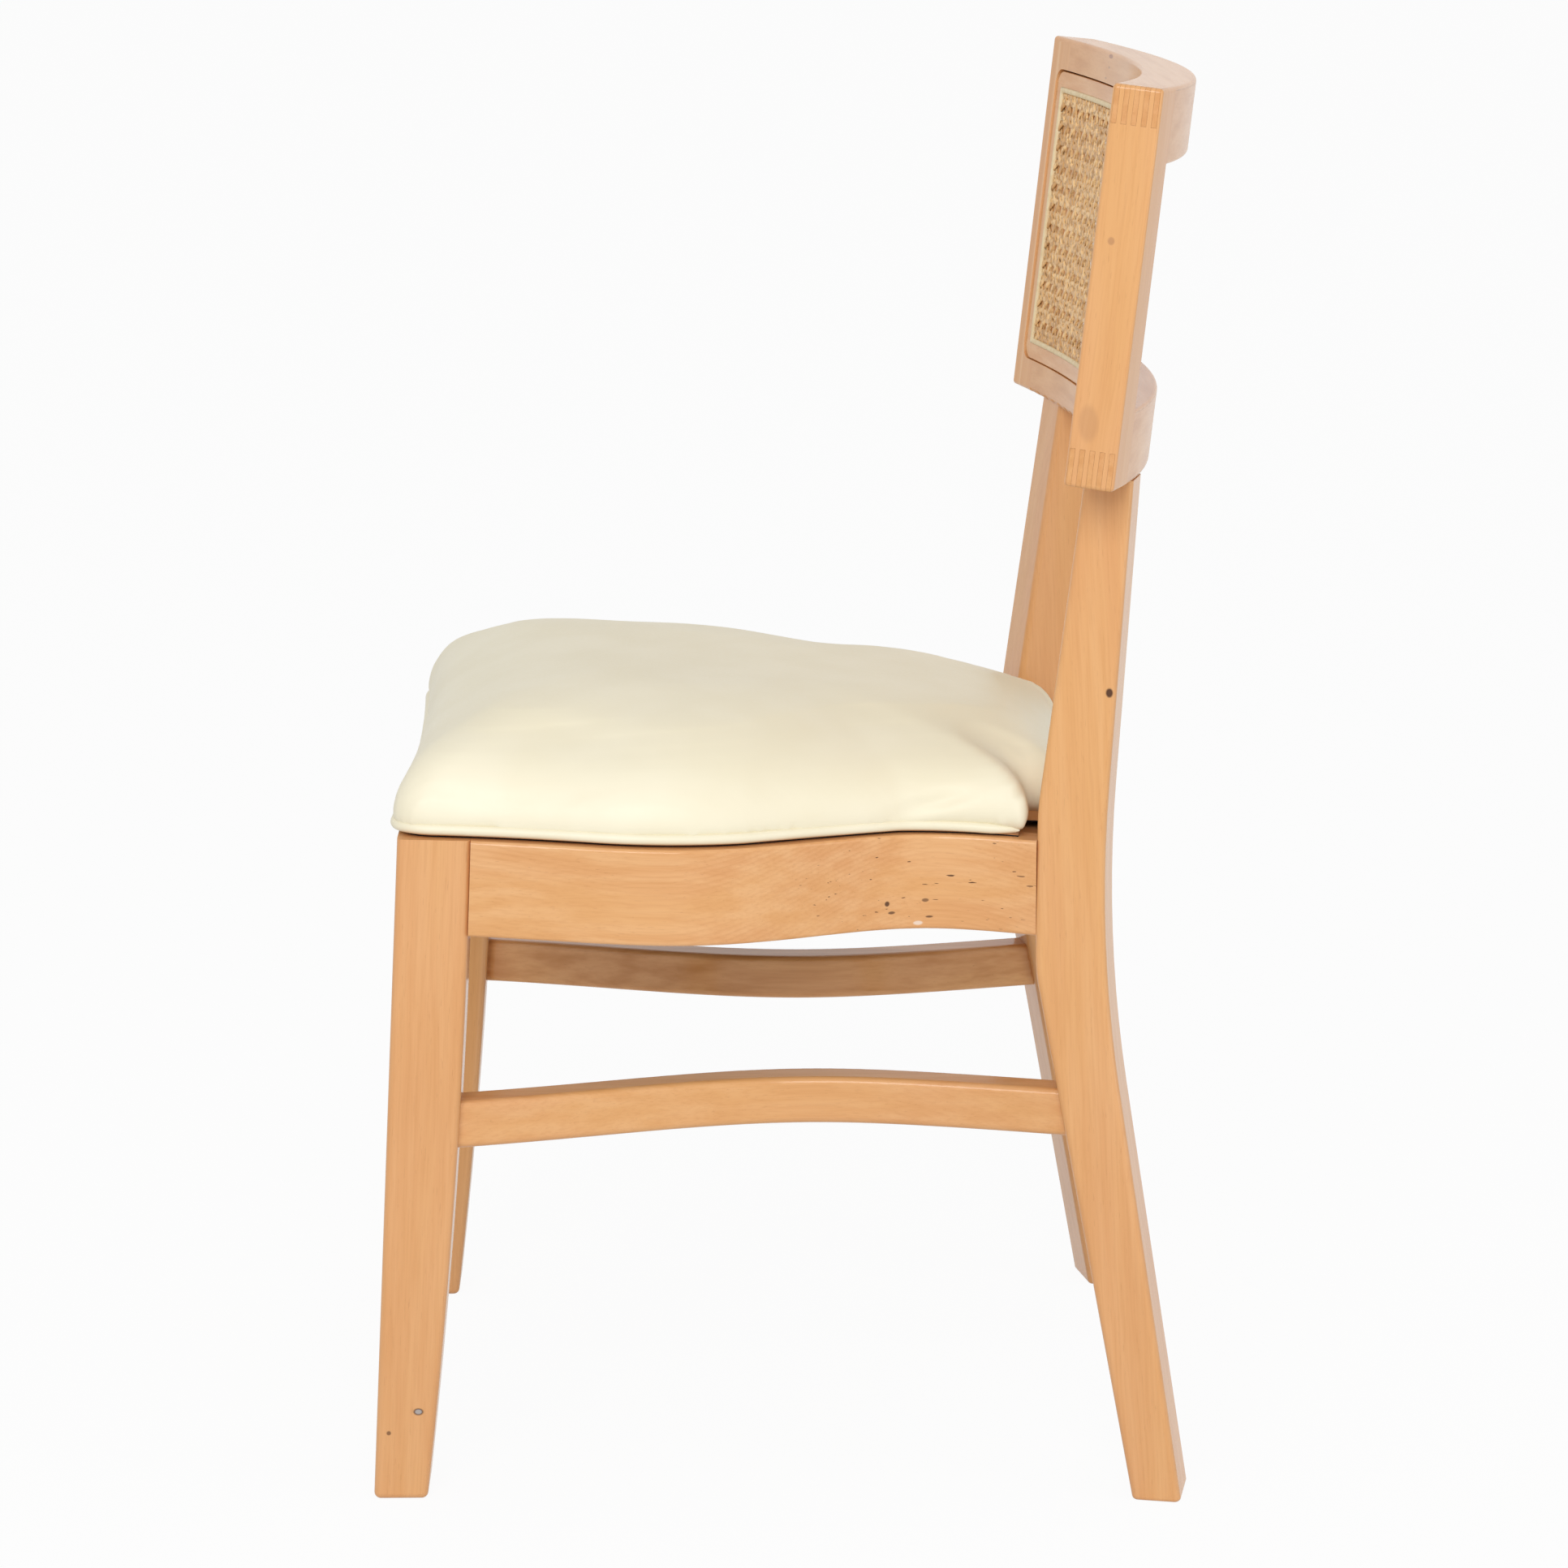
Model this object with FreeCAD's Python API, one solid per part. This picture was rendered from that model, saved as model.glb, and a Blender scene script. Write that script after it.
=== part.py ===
import FreeCAD, Part
import math
import os
from FreeCAD import Placement, Rotation, Vector

# Cane backed dining chair. Millimetres, +Z up, the sitter faces -Y, the sitter's left is +X.
# Depths are measured back from the tips of the front toes, and the origin lies on the floor
# under the middle of the chair.

# Overall
origin_depth = 247.5

# Seat frame: its top plane falls to the rear
seat_front_height = 404.5
seat_fall_angle = 1.57
rail_height = 57.0
rail_thickness = 25.0

# Front legs
front_leg_span = 434.0
front_leg_thickness = 45.0
front_leg_rake = 20.5
front_leg_top_width = 42.8
front_leg_knee_height = 210.0
front_leg_knee_back = 52.5
front_leg_foot_width = 32.0

# Rear legs: drawn in their own plane, which is turned about the vertical and leans inward
rear_foot_span = 452.0
rear_foot_depth = 452.2
rear_leg_turn = 12.0
rear_leg_splay = 4.2
rear_leg_thickness = 40.0
rear_foot_width = 29.2
rear_leg_knee_height = 318.0
rear_leg_knee_setback = 65.5
rear_leg_seat_height = 413.0
rear_leg_seat_setback = 66.0
rear_leg_back_bend_height = 337.0
rear_leg_back_bend_setback = 29.2
rear_leg_top_front_setback = 42.5
rear_leg_top_back_setback = 13.8
rear_leg_knee_radius = 90.0
rear_leg_seat_radius = 150.0
rear_leg_back_radius = 800.0
leg_trim = 20.0
scribe_reach = 20.0

# Softened wood edges
leg_edge_radius = 4.0
foot_edge_radius = 2.5
rail_edge_radius = 2.0
stretcher_edge_radius = 4.0
back_edge_radius = 2.5
opening_edge_radius = 2.0
panel_edge_radius = 0.8

# Side seat rails: outer face in plan, half span at each depth
side_rail_swell_half = 226.0
side_rail_swell_depth = 120.0
side_rail_bulge_half = 230.0
side_rail_bulge_depth = 186.0
side_rail_turn_half = 202.0
side_rail_turn_depth = 261.0
side_rail_dip_half = 173.0
side_rail_dip_run = 60.0
side_rail_post_set = 1.3
side_rail_flare = 4.0

# Front and rear seat rails, set back from the front of the legs that carry them
front_rail_set = 6.5
rear_rail_set = 9.6

# Side stretchers: outer face in plan
stretcher_height = 28.5
stretcher_thickness = 25.0
stretcher_floor_gap = 215.2
stretcher_front_set = 4.5
stretcher_quarter_half = 184.0
stretcher_quarter_depth = 144.0
stretcher_middle_half = 160.0
stretcher_middle_depth = 265.0
stretcher_flare_half = 171.0
stretcher_flare_run = 69.5
stretcher_post_set = 6.7
end_housing = 12.0

# Back frame: a curved slab that leans back, drawn about the axis of its curve
back_lean = 6.3
back_bottom_height = 611.2
back_post_set = 2.3
back_height = 229.0
back_half_chord = 227.0
back_front_radius = 790.0
back_thickness = 29.0
back_middle_swell = 4.5
back_rail_height = 44.0
back_stile_width = 34.0
comb_height = 22.0
comb_count = 5
comb_finger = 2.9
joint_clearance = 0.1

# Cane panel, let into the front of the back frame
rebate_depth = 11.0
rebate_margin_rail = 20.0
rebate_margin_stile = 13.0
panel_gap = 0.3
panel_top_gap = 1.2
panel_corner_radius = 10.0
panel_thickness = 10.0
panel_member_width = 24.5
cane_margin = 10.0
spline_width = 3.6
spline_depth = 4.5
cane_thickness = 1.4
cane_recess = 1.8
# The open weave of the cane, drawn as a coarse grid of openings
cane_openings_across = 12
cane_openings_up = 5
cane_bar = 12.0

# Upholstered seat, heights above the top of the rails
cushion_front_overhang = 5.5
cushion_front_bow = 5.0
cushion_setback = 3.0
cushion_post_gap = 3.0
cushion_notch_span = 120.0
cushion_notch_overrun = 20.0
cushion_notch_radius = 5.0
notch_draw = 0.75
cushion_corner_radius = 18.0
cushion_lower_edge = 8.4
# Each step of the crown: how far it draws in, and its height
cushion_crown = [(0.0, cushion_lower_edge), (0.6, 20.0), (8.0, 37.0), (24.0, 49.5),
                 (56.0, 60.0), (95.0, 66.5), (130.0, 69.0)]
crown_corner_growth = 0.22
crown_calm_inset = 160.0
# The crown stands highest towards the front and falls to the rear
crown_fall = 0.04
crown_pivot_depth = 150.0
cushion_side_arcs = 4
cover_thickness = 2.0
soft_clearance = 0.3
dust_cover_thickness = 0.8
seat_board_thickness = 12.0
piping_diameter = 6.0
piping_end_set = 12.0

# Corner blocks, dowels and screws
block_height = 32.0
block_drop = 4.0
front_block_reach_x = 68.0
front_block_reach_y = 88.0
rear_block_reach_x = 92.0
rear_block_reach_y = 76.0
dowel_diameter = 8.0
dowel_bite = 24.0
rail_dowel_drop = 14.0
cross_dowel_inset = 9.0
post_dowel_diameter = 9.0
post_dowel_bite = 26.0
post_dowel_cover = 2.0
post_dowel_spacing = 17.0
screw_diameter = 4.2
screw_head_diameter = 8.5
screw_head_height = 2.6
block_screw_bite = 13.0
block_screw_sink = 7.0
driver_reach = 100.0
cross_screw_offset = 34.0
side_screw_offset = 24.0
seat_screw_bite = 9.0
front_seat_screw_x = 8.0
front_seat_screw_y = 32.0
rear_seat_screw_x = 26.0
rear_seat_screw_y = 26.0
screw_clearance = 0.3

# Directions, and the reach of a cutting block
ACROSS = Vector(1, 0, 0)
BACKWARD = Vector(0, 1, 0)
UP = Vector(0, 0, 1)
ORIGIN = Vector(0, 0, 0)
FAR = 2000.0
OVERCUT = 1.0
NEARLY = 0.01

seat_place = Placement(Vector(0, -origin_depth, seat_front_height), Rotation(ACROSS, -seat_fall_angle))
rear_leg_place = Placement(
    Vector(rear_foot_span / 2, rear_foot_depth - origin_depth, 0),
    Rotation(UP, -rear_leg_turn) * Rotation(BACKWARD, -rear_leg_splay))


def post_point(inward, setback, height):
    """A point of the left rear leg as half span and depth, from its own plane."""
    point = rear_leg_place.multVec(Vector(-inward, -setback, height))
    return point.x, point.y + origin_depth


def back_sweep(half_span):
    """How far the front of the curved back lies behind its ends, at one half span."""
    return math.sqrt(back_front_radius ** 2 - half_span ** 2) - math.sqrt(
        back_front_radius ** 2 - back_half_chord ** 2)


# Where the front corners of the rear leg meet the seat rail, the stretcher, the cushion and the back
rail_middle_height = seat_front_height - rail_height / 2
stretcher_middle_height = stretcher_floor_gap + stretcher_height / 2
cushion_top_height = seat_front_height + cushion_crown[-1][1]
stretcher_setback = rear_leg_knee_setback * stretcher_middle_height / rear_leg_knee_height
post_half, post_depth = post_point(0, rear_leg_seat_setback, rail_middle_height)
lower_post_half, lower_post_depth = post_point(0, stretcher_setback, stretcher_middle_height)
inner_post_half = post_point(rear_leg_thickness, rear_leg_seat_setback, cushion_top_height)[0]
top_half, top_depth = post_point(0, rear_leg_top_front_setback, back_bottom_height)

back_bottom_depth = top_depth - back_sweep(top_half) - back_post_set
back_place = Placement(
    Vector(0, back_bottom_depth - origin_depth, back_bottom_height), Rotation(ACROSS, -back_lean))

front_rail_depth = front_leg_rake + front_rail_set
rear_rail_depth = post_depth + rear_rail_set
cushion_front_depth = front_leg_rake - cushion_front_overhang
cushion_rear_depth = rear_rail_depth + rail_thickness
notch_half_width = inner_post_half - cushion_post_gap
notch_depth = post_depth - cushion_post_gap


def placed(shape, placement):
    copy = shape.copy()
    copy.Placement = placement.multiply(copy.Placement)
    return copy


def mirrored(shape):
    return shape.mirror(ORIGIN, ACROSS)


def both_sides(shape):
    return [shape, mirrored(shape)]


def block(x_low, x_high, y_low, y_high, z_low, z_high):
    return Part.makeBox(x_high - x_low, y_high - y_low, z_high - z_low, Vector(x_low, y_low, z_low))


def rod(start, direction, length, diameter):
    return Part.makeCylinder(diameter / 2, length, start, direction)


def rounded_wire(corners):
    """Closed wire through (point, radius) corners, each rounded by a tangent arc."""
    entries = []
    count = len(corners)
    for index, (point, radius) in enumerate(corners):
        to_last = (corners[index - 1][0] - point).normalize()
        to_next = (corners[(index + 1) % count][0] - point).normalize()
        half_angle = to_last.getAngle(to_next) / 2
        reach = radius / math.tan(half_angle)
        middle_way = (to_last + to_next).normalize()
        middle = point + middle_way * (radius / math.sin(half_angle) - radius)
        entries.append((point + to_last * reach, middle, point + to_next * reach, radius))
    edges = []
    for index, (start, middle, end, radius) in enumerate(entries):
        if radius > 0:
            edges.append(Part.Arc(start, middle, end).toShape())
        edges.append(Part.LineSegment(end, entries[(index + 1) % count][0]).toShape())
    return Part.Wire(edges)


def edges_where(shape, test):
    return [edge for edge in shape.Edges if all(test(vertex.Point) for vertex in edge.Vertexes)]


def curve_through(points):
    curve = Part.BSplineCurve()
    curve.interpolate([Vector(half, depth, 0) for half, depth in points])
    return curve


def half_span_at(curve, depth):
    """Half span of a plan curve at one depth, found by bisection."""
    low = curve.FirstParameter
    high = curve.LastParameter
    for _ in range(50):
        middle = (low + high) / 2
        if curve.value(middle).y < depth:
            low = middle
        else:
            high = middle
    return curve.value(low).x


def heading_at(curve, depth):
    """Direction of a plan curve at one depth, pointing backward."""
    step = 1.0
    near = Vector(half_span_at(curve, depth - step), depth - step, 0)
    far = Vector(half_span_at(curve, depth + step), depth + step, 0)
    return (far - near).normalize()


def curved_bar(curve, thickness, z_low, z_high, edge_radius):
    """A bar with parallel curved faces, softened along its four long edges."""
    outer = curve.toShape()
    inner = outer.translated(Vector(-thickness, 0, 0))
    front = Part.LineSegment(outer.Vertexes[0].Point, inner.Vertexes[0].Point).toShape()
    rear = Part.LineSegment(outer.Vertexes[1].Point, inner.Vertexes[1].Point).toShape()
    outline = Part.Wire(Part.sortEdges([outer, rear, inner, front])[0])
    bar = Part.Face(outline).extrude(Vector(0, 0, z_high - z_low))
    bar.translate(Vector(0, 0, z_low))
    long_edges = [edge for edge in bar.Edges if edge.Curve.TypeId == "Part::GeomBSplineCurve"]
    return bar.makeFillet(edge_radius, long_edges)


# Legs

def front_leg_blank(grown=0):
    """Left front leg before its edges are softened, with a straight raked front and a rear edge drawn
    in at the foot. It may be grown outward, to scribe other pieces to it."""
    outer = front_leg_span / 2 + grown
    toe = Vector(outer, 0, 0)
    heel = Vector(outer, front_leg_foot_width, 0)
    knee = Vector(outer, front_leg_knee_back, front_leg_knee_height)
    top_front = Vector(outer, front_leg_rake, seat_front_height)
    top_back = Vector(outer, front_leg_rake + front_leg_top_width, seat_front_height)
    edges = [
        Part.LineSegment(toe, top_front).toShape(),
        Part.LineSegment(top_front, top_back).toShape(),
        Part.Arc(top_back, knee, heel).toShape(),
        Part.LineSegment(heel, toe).toShape(),
    ]
    leg = Part.Face(Part.Wire(edges)).extrude(Vector(-front_leg_thickness - grown, 0, 0))
    return leg.translated(Vector(0, -origin_depth, 0))


def front_leg():
    leg = front_leg_blank()
    softened = [edge for edge in leg.Edges if edge.BoundBox.ZMin < seat_front_height - NEARLY]
    return leg.makeFillet(leg_edge_radius, softened).cut(above_seat())


def rear_leg_profile():
    """Side outline of a rear leg in its own plane, long at both ends for trimming."""
    front_fall = rear_leg_knee_setback / rear_leg_knee_height
    back_fall = (rear_foot_width + rear_leg_back_bend_setback) / rear_leg_back_bend_height
    front_run = back_bottom_height - rear_leg_seat_height
    front_rise = (rear_leg_seat_setback - rear_leg_top_front_setback) / front_run
    back_run = back_bottom_height - rear_leg_back_bend_height
    back_rise = (rear_leg_back_bend_setback - rear_leg_top_back_setback) / back_run
    top = back_bottom_height + leg_trim
    corners = [
        (Vector(0, leg_trim * front_fall, -leg_trim), 0),
        (Vector(0, -rear_leg_knee_setback, rear_leg_knee_height), rear_leg_knee_radius),
        (Vector(0, -rear_leg_seat_setback, rear_leg_seat_height), rear_leg_seat_radius),
        (Vector(0, leg_trim * front_rise - rear_leg_top_front_setback, top), 0),
        (Vector(0, leg_trim * back_rise - rear_leg_top_back_setback, top), 0),
        (Vector(0, -rear_leg_back_bend_setback, rear_leg_back_bend_height), rear_leg_back_radius),
        (Vector(0, rear_foot_width + leg_trim * back_fall, -leg_trim), 0),
    ]
    return rounded_wire(corners)


def rear_leg_blank(grown=0):
    """Left rear leg in its own plane, before its edges are softened and its ends are trimmed. It may be
    grown outward, to scribe other pieces to it."""
    leg = Part.Face(rear_leg_profile()).extrude(Vector(-rear_leg_thickness - grown, 0, 0))
    return leg.translated(Vector(grown, 0, 0))


def rear_leg():
    """Left rear leg, from the floor to the underside of the lower back rail."""
    leg = rear_leg_blank()
    top = back_bottom_height + leg_trim
    long_edges = []
    for edge in leg.Edges:
        box = edge.BoundBox
        is_end = box.ZMax < OVERCUT - leg_trim or box.ZMin > top - OVERCUT
        if box.XLength < OVERCUT and not is_end:
            long_edges.append(edge)
    leg = placed(leg.makeFillet(leg_edge_radius, long_edges), rear_leg_place)
    leg = leg.cut(block(-FAR, FAR, -FAR, FAR, -FAR, 0))
    leg = leg.cut(above_posts())
    foot_edges = edges_where(leg, lambda point: point.z < NEARLY)
    return leg.makeFillet(foot_edge_radius, foot_edges)


def above_seat():
    return placed(block(-FAR, FAR, -FAR, FAR, 0, FAR), seat_place)


def above_posts():
    return placed(block(-FAR, FAR, -FAR, FAR, 0, FAR), back_place)


# Seat frame, drawn with its top plane at height 0 and then placed

def side_rail_curve():
    return curve_through([
        (front_leg_span / 2, front_leg_rake + front_leg_top_width - end_housing),
        (side_rail_swell_half, side_rail_swell_depth),
        (side_rail_bulge_half, side_rail_bulge_depth),
        (side_rail_turn_half, side_rail_turn_depth),
        (side_rail_dip_half, post_depth - side_rail_dip_run),
        (post_half - side_rail_post_set, post_depth),
        (post_half - side_rail_post_set + side_rail_flare, post_depth + end_housing),
    ])


def side_rail(front, rear):
    bar = curved_bar(side_rail_curve(), rail_thickness, -rail_height, 0, rail_edge_radius)
    return placed(bar, seat_place).cut([front, rear])


def cross_rail(half_length, depth):
    """A straight rail across the chair, softened along its four long edges."""
    board = block(-half_length, half_length, depth, depth + rail_thickness, -rail_height, 0)
    long_edges = [edge for edge in board.Edges if edge.BoundBox.XLength > half_length]
    return placed(board.makeFillet(rail_edge_radius, long_edges), seat_place)


def front_rail():
    return cross_rail(front_leg_span / 2 - front_leg_thickness, front_rail_depth)


def rear_rail(rear_legs):
    board = cross_rail(rear_foot_span / 2 - rear_leg_thickness, rear_rail_depth).cut(rear_legs)
    return max(board.Solids, key=lambda solid: solid.Volume)


def stretcher_curve():
    return curve_through([
        (front_leg_span / 2 - stretcher_front_set, front_leg_knee_back - end_housing),
        (stretcher_quarter_half, stretcher_quarter_depth),
        (stretcher_middle_half, stretcher_middle_depth),
        (stretcher_flare_half, lower_post_depth - stretcher_flare_run),
        (lower_post_half - stretcher_post_set, lower_post_depth + end_housing),
    ])


def stretcher(front, rear):
    low = stretcher_floor_gap
    high = low + stretcher_height
    bar = curved_bar(stretcher_curve(), stretcher_thickness, low, high, stretcher_edge_radius)
    bar.translate(Vector(0, -origin_depth, 0))
    return bar.cut([front, rear])


def prism(points, z_low, z_high):
    corners = [Vector(x, y, z_low) for x, y in points]
    outline = Part.makePolygon(corners + corners[:1])
    return Part.Face(outline).extrude(Vector(0, 0, z_high - z_low))


def corner_blocks(front, rear, rail, cross_rails):
    """Left corner blocks, notched round the legs and scribed to the side rail."""
    leg_inner = front_leg_span / 2 - front_leg_thickness
    front_face = front_rail_depth + rail_thickness
    half_rail = rail_thickness / 2
    curve = side_rail_curve()
    front_end = front_face + front_block_reach_y
    rear_end = rear_rail_depth - rear_block_reach_y
    rear_corner = half_span_at(curve, post_depth) - half_rail
    rear_inner = half_span_at(curve, rear_end) - half_rail
    front_points = [
        (leg_inner - front_block_reach_x, front_face),
        (front_leg_span / 2 - half_rail, front_face),
        (half_span_at(curve, front_end) - half_rail, front_end),
    ]
    rear_points = [
        (rear_inner - rear_block_reach_x, rear_rail_depth),
        (rear_corner, rear_rail_depth),
        (rear_inner, rear_end),
    ]
    blocks = []
    for points in (front_points, rear_points):
        body = placed(prism(points, -block_drop - block_height, -block_drop), seat_place)
        body = body.cut([front, rear, rail] + cross_rails)
        blocks.append(max(body.Solids, key=lambda solid: solid.Volume))
    return blocks


# Back frame, drawn with the ends of its front face at depth 0 and its lower edge at height 0

back_axis = Vector(0, -math.sqrt(back_front_radius ** 2 - back_half_chord ** 2), 0)
back_half_angle = math.asin(back_half_chord / back_front_radius)

# The rear face has its own axis, so that the back is thickest in the middle of its span
back_end_radius = back_front_radius + back_thickness
back_end_reach = back_end_radius * math.cos(back_half_angle)
back_rear_bow = back_end_radius + back_middle_swell - back_end_reach
back_end_half = back_end_radius * math.sin(back_half_angle)
back_rear_radius = (back_end_half ** 2 + back_rear_bow ** 2) / (2 * back_rear_bow)
back_rear_axis = back_axis + Vector(0, back_end_radius + back_middle_swell - back_rear_radius, 0)


def angle_of(width):
    """Angle that a width along the front face takes about the axis of the back's curve."""
    return width / back_front_radius


def sector(r_low, r_high, half_angle, z_low, z_high, start_angle=None):
    """A curved slab between two radii, from start_angle, or from -half_angle, to half_angle."""
    first = -half_angle if start_angle is None else start_angle
    corners = [Vector(r_low, 0, z_low), Vector(r_high, 0, z_low),
               Vector(r_high, 0, z_high), Vector(r_low, 0, z_high)]
    face = Part.Face(Part.makePolygon(corners + corners[:1]))
    solid = face.revolve(ORIGIN, UP, math.degrees(half_angle - first))
    # Angle 0 lies straight back, and positive angles are on the sitter's left
    solid.rotate(ORIGIN, UP, 90 - math.degrees(half_angle))
    return solid.translated(back_axis)


def radial_edges(solid):
    return [edge for edge in solid.Edges
            if edge.Curve.TypeId == "Part::GeomLine" and edge.BoundBox.ZLength < NEARLY]


def edges_at_radius(solid, axis, radius, z_low, z_high):
    """Edges that lie on one radius about an upright axis, between two heights."""

    def lies_there(point):
        reach = math.hypot(point.x - axis.x, point.y - axis.y)
        return abs(reach - radius) < NEARLY and z_low - NEARLY < point.z < z_high + NEARLY

    return edges_where(solid, lies_there)


def back_slab():
    """The whole back frame as one softened slab with its opening and its rebate."""
    inner = back_front_radius
    outer = back_end_radius + back_middle_swell
    rear_base = back_rear_axis - UP * OVERCUT
    rear_face = Part.makeCylinder(back_rear_radius, back_height + 2 * OVERCUT, rear_base)
    slab = sector(inner, outer, back_half_angle, 0, back_height).common(rear_face)
    slab = slab.makeFillet(back_edge_radius, slab.Edges)
    opening_angle = back_half_angle - angle_of(back_stile_width)
    opening_top = back_height - back_rail_height
    opening = sector(inner - OVERCUT, outer + OVERCUT, opening_angle, back_rail_height, opening_top)
    rebate_angle = back_half_angle - angle_of(rebate_margin_stile)
    rebate = sector(inner - rebate_depth, inner + rebate_depth, rebate_angle,
                    rebate_margin_rail, back_height - rebate_margin_rail)
    rebate = rebate.makeFillet(panel_corner_radius, radial_edges(rebate))
    slab = slab.cut([opening, rebate])
    rear_edges = edges_at_radius(slab, back_rear_axis, back_rear_radius, back_rail_height, opening_top)
    return slab.makeFillet(opening_edge_radius, rear_edges)


def comb(end_angle, z_low, z_high, clearance):
    """Comb fingers of a back rail, running through the stile."""
    pitch = back_thickness / (2 * comb_count)
    fingers = []
    for index in range(comb_count):
        middle = back_front_radius + pitch * (2 * index + 1)
        half = comb_finger / 2 + clearance
        first = back_half_angle - angle_of(back_stile_width + OVERCUT)
        fingers.append(sector(middle - half, middle + half, end_angle, z_low, z_high, first))
    return fingers


def back_frame():
    """Crest rail, lower rail and left stile, cut from one slab along their joints."""
    slab = back_slab()
    inner = back_front_radius - OVERCUT
    outer = back_end_radius + back_middle_swell + OVERCUT
    top = back_height + OVERCUT
    shoulder = back_half_angle - angle_of(back_stile_width)
    past_end = back_half_angle + angle_of(OVERCUT)
    crest_zone = sector(inner, outer, shoulder, back_height - back_rail_height, top)
    lower_zone = sector(inner, outer, shoulder, -OVERCUT, back_rail_height)
    stile_zone = sector(inner, outer, past_end, -OVERCUT, top, shoulder)
    slot_height = comb_height + joint_clearance
    crest_comb = comb(past_end, back_height - comb_height, top, 0)
    lower_comb = comb(past_end, -OVERCUT, comb_height, 0)
    crest_slots = comb(past_end, back_height - slot_height, top, joint_clearance)
    lower_slots = comb(past_end, -OVERCUT, slot_height, joint_clearance)
    crest_fingers = [side for finger in crest_comb for side in both_sides(finger)]
    lower_fingers = [side for finger in lower_comb for side in both_sides(finger)]
    crest = slab.common(crest_zone.multiFuse(crest_fingers).removeSplitter())
    lower = slab.common(lower_zone.multiFuse(lower_fingers).removeSplitter())
    stile = slab.common(stile_zone).cut(crest_slots + lower_slots)
    return crest, lower, stile


def cane_openings(half_angle, low, high):
    """Cutters for the openings of the cane sheet, evenly spaced between bars."""
    bar_angle = angle_of(cane_bar)
    angle_step = (2 * half_angle - bar_angle) / cane_openings_across
    height_step = (high - low - cane_bar) / cane_openings_up
    inner = back_front_radius
    outer = back_front_radius + rebate_depth
    cutters = []
    for column in range(cane_openings_across):
        first = bar_angle - half_angle + column * angle_step
        last = first + angle_step - bar_angle
        for row in range(cane_openings_up):
            z_low = low + cane_bar + row * height_step
            z_high = z_low + height_step - cane_bar
            cutters.append(sector(inner, outer, last, z_low, z_high, first))
    return cutters


def cane_panel():
    """Panel members, the spline in its groove and the cane sheet, in the back's own frame."""
    face = back_front_radius + rebate_depth - panel_thickness
    rear = back_front_radius + rebate_depth
    edge_angle = back_half_angle - angle_of(rebate_margin_stile + panel_gap)
    low = rebate_margin_rail + panel_gap
    high = back_height - rebate_margin_rail - panel_top_gap

    def ring_zone(inset, r_low, r_high):
        return sector(r_low, r_high, edge_angle - angle_of(inset), low + inset, high - inset)

    before = face - OVERCUT
    behind = rear + OVERCUT
    past_edge = edge_angle + angle_of(OVERCUT)
    window_low = low + panel_member_width
    window_high = high - panel_member_width
    whole = ring_zone(0, face, rear)
    whole = whole.makeFillet(panel_corner_radius, radial_edges(whole))
    whole = whole.makeFillet(panel_edge_radius, edges_at_radius(whole, back_axis, face, low, high))
    groove_inner = cane_margin + spline_width
    groove = ring_zone(cane_margin, before, face + spline_depth)
    groove = groove.cut(ring_zone(groove_inner, before, face + spline_depth))
    cane_back = face + cane_recess
    seat_of_cane = ring_zone(groove_inner, before, cane_back)
    window = ring_zone(panel_member_width, before, behind)
    frame = whole.cut([groove, seat_of_cane, window])
    side_start = edge_angle - angle_of(panel_member_width)
    left = frame.common(sector(before, behind, past_edge, window_low, window_high, side_start))
    top_zone = sector(before, behind, past_edge, window_high, high + OVERCUT)
    bottom_zone = sector(before, behind, past_edge, low - OVERCUT, window_low)
    cane_inset = groove_inner + joint_clearance
    cane = ring_zone(cane_inset, cane_back - cane_thickness, cane_back)
    cane = cane.cut(cane_openings(edge_angle - angle_of(cane_inset), low + cane_inset, high - cane_inset))
    spline = ring_zone(cane_margin + joint_clearance, face, face + spline_depth)
    spline = spline.cut(ring_zone(groove_inner - joint_clearance, before, face + spline_depth))
    return {
        "cane_frame_top": frame.common(top_zone),
        "cane_frame_bottom": frame.common(bottom_zone),
        "cane_frame_left": left,
        "cane_frame_right": mirrored(left),
        "cane_spline": spline,
        "cane_webbing": cane,
    }


# Upholstered seat, drawn with the top of the rails at height 0

def on_plane(half, depth, z, fall):
    """A point on a plane that falls to the rear, with the height z at the depth of the crown's pivot."""
    return Vector(half, depth, z - fall * (depth - crown_pivot_depth))


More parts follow.
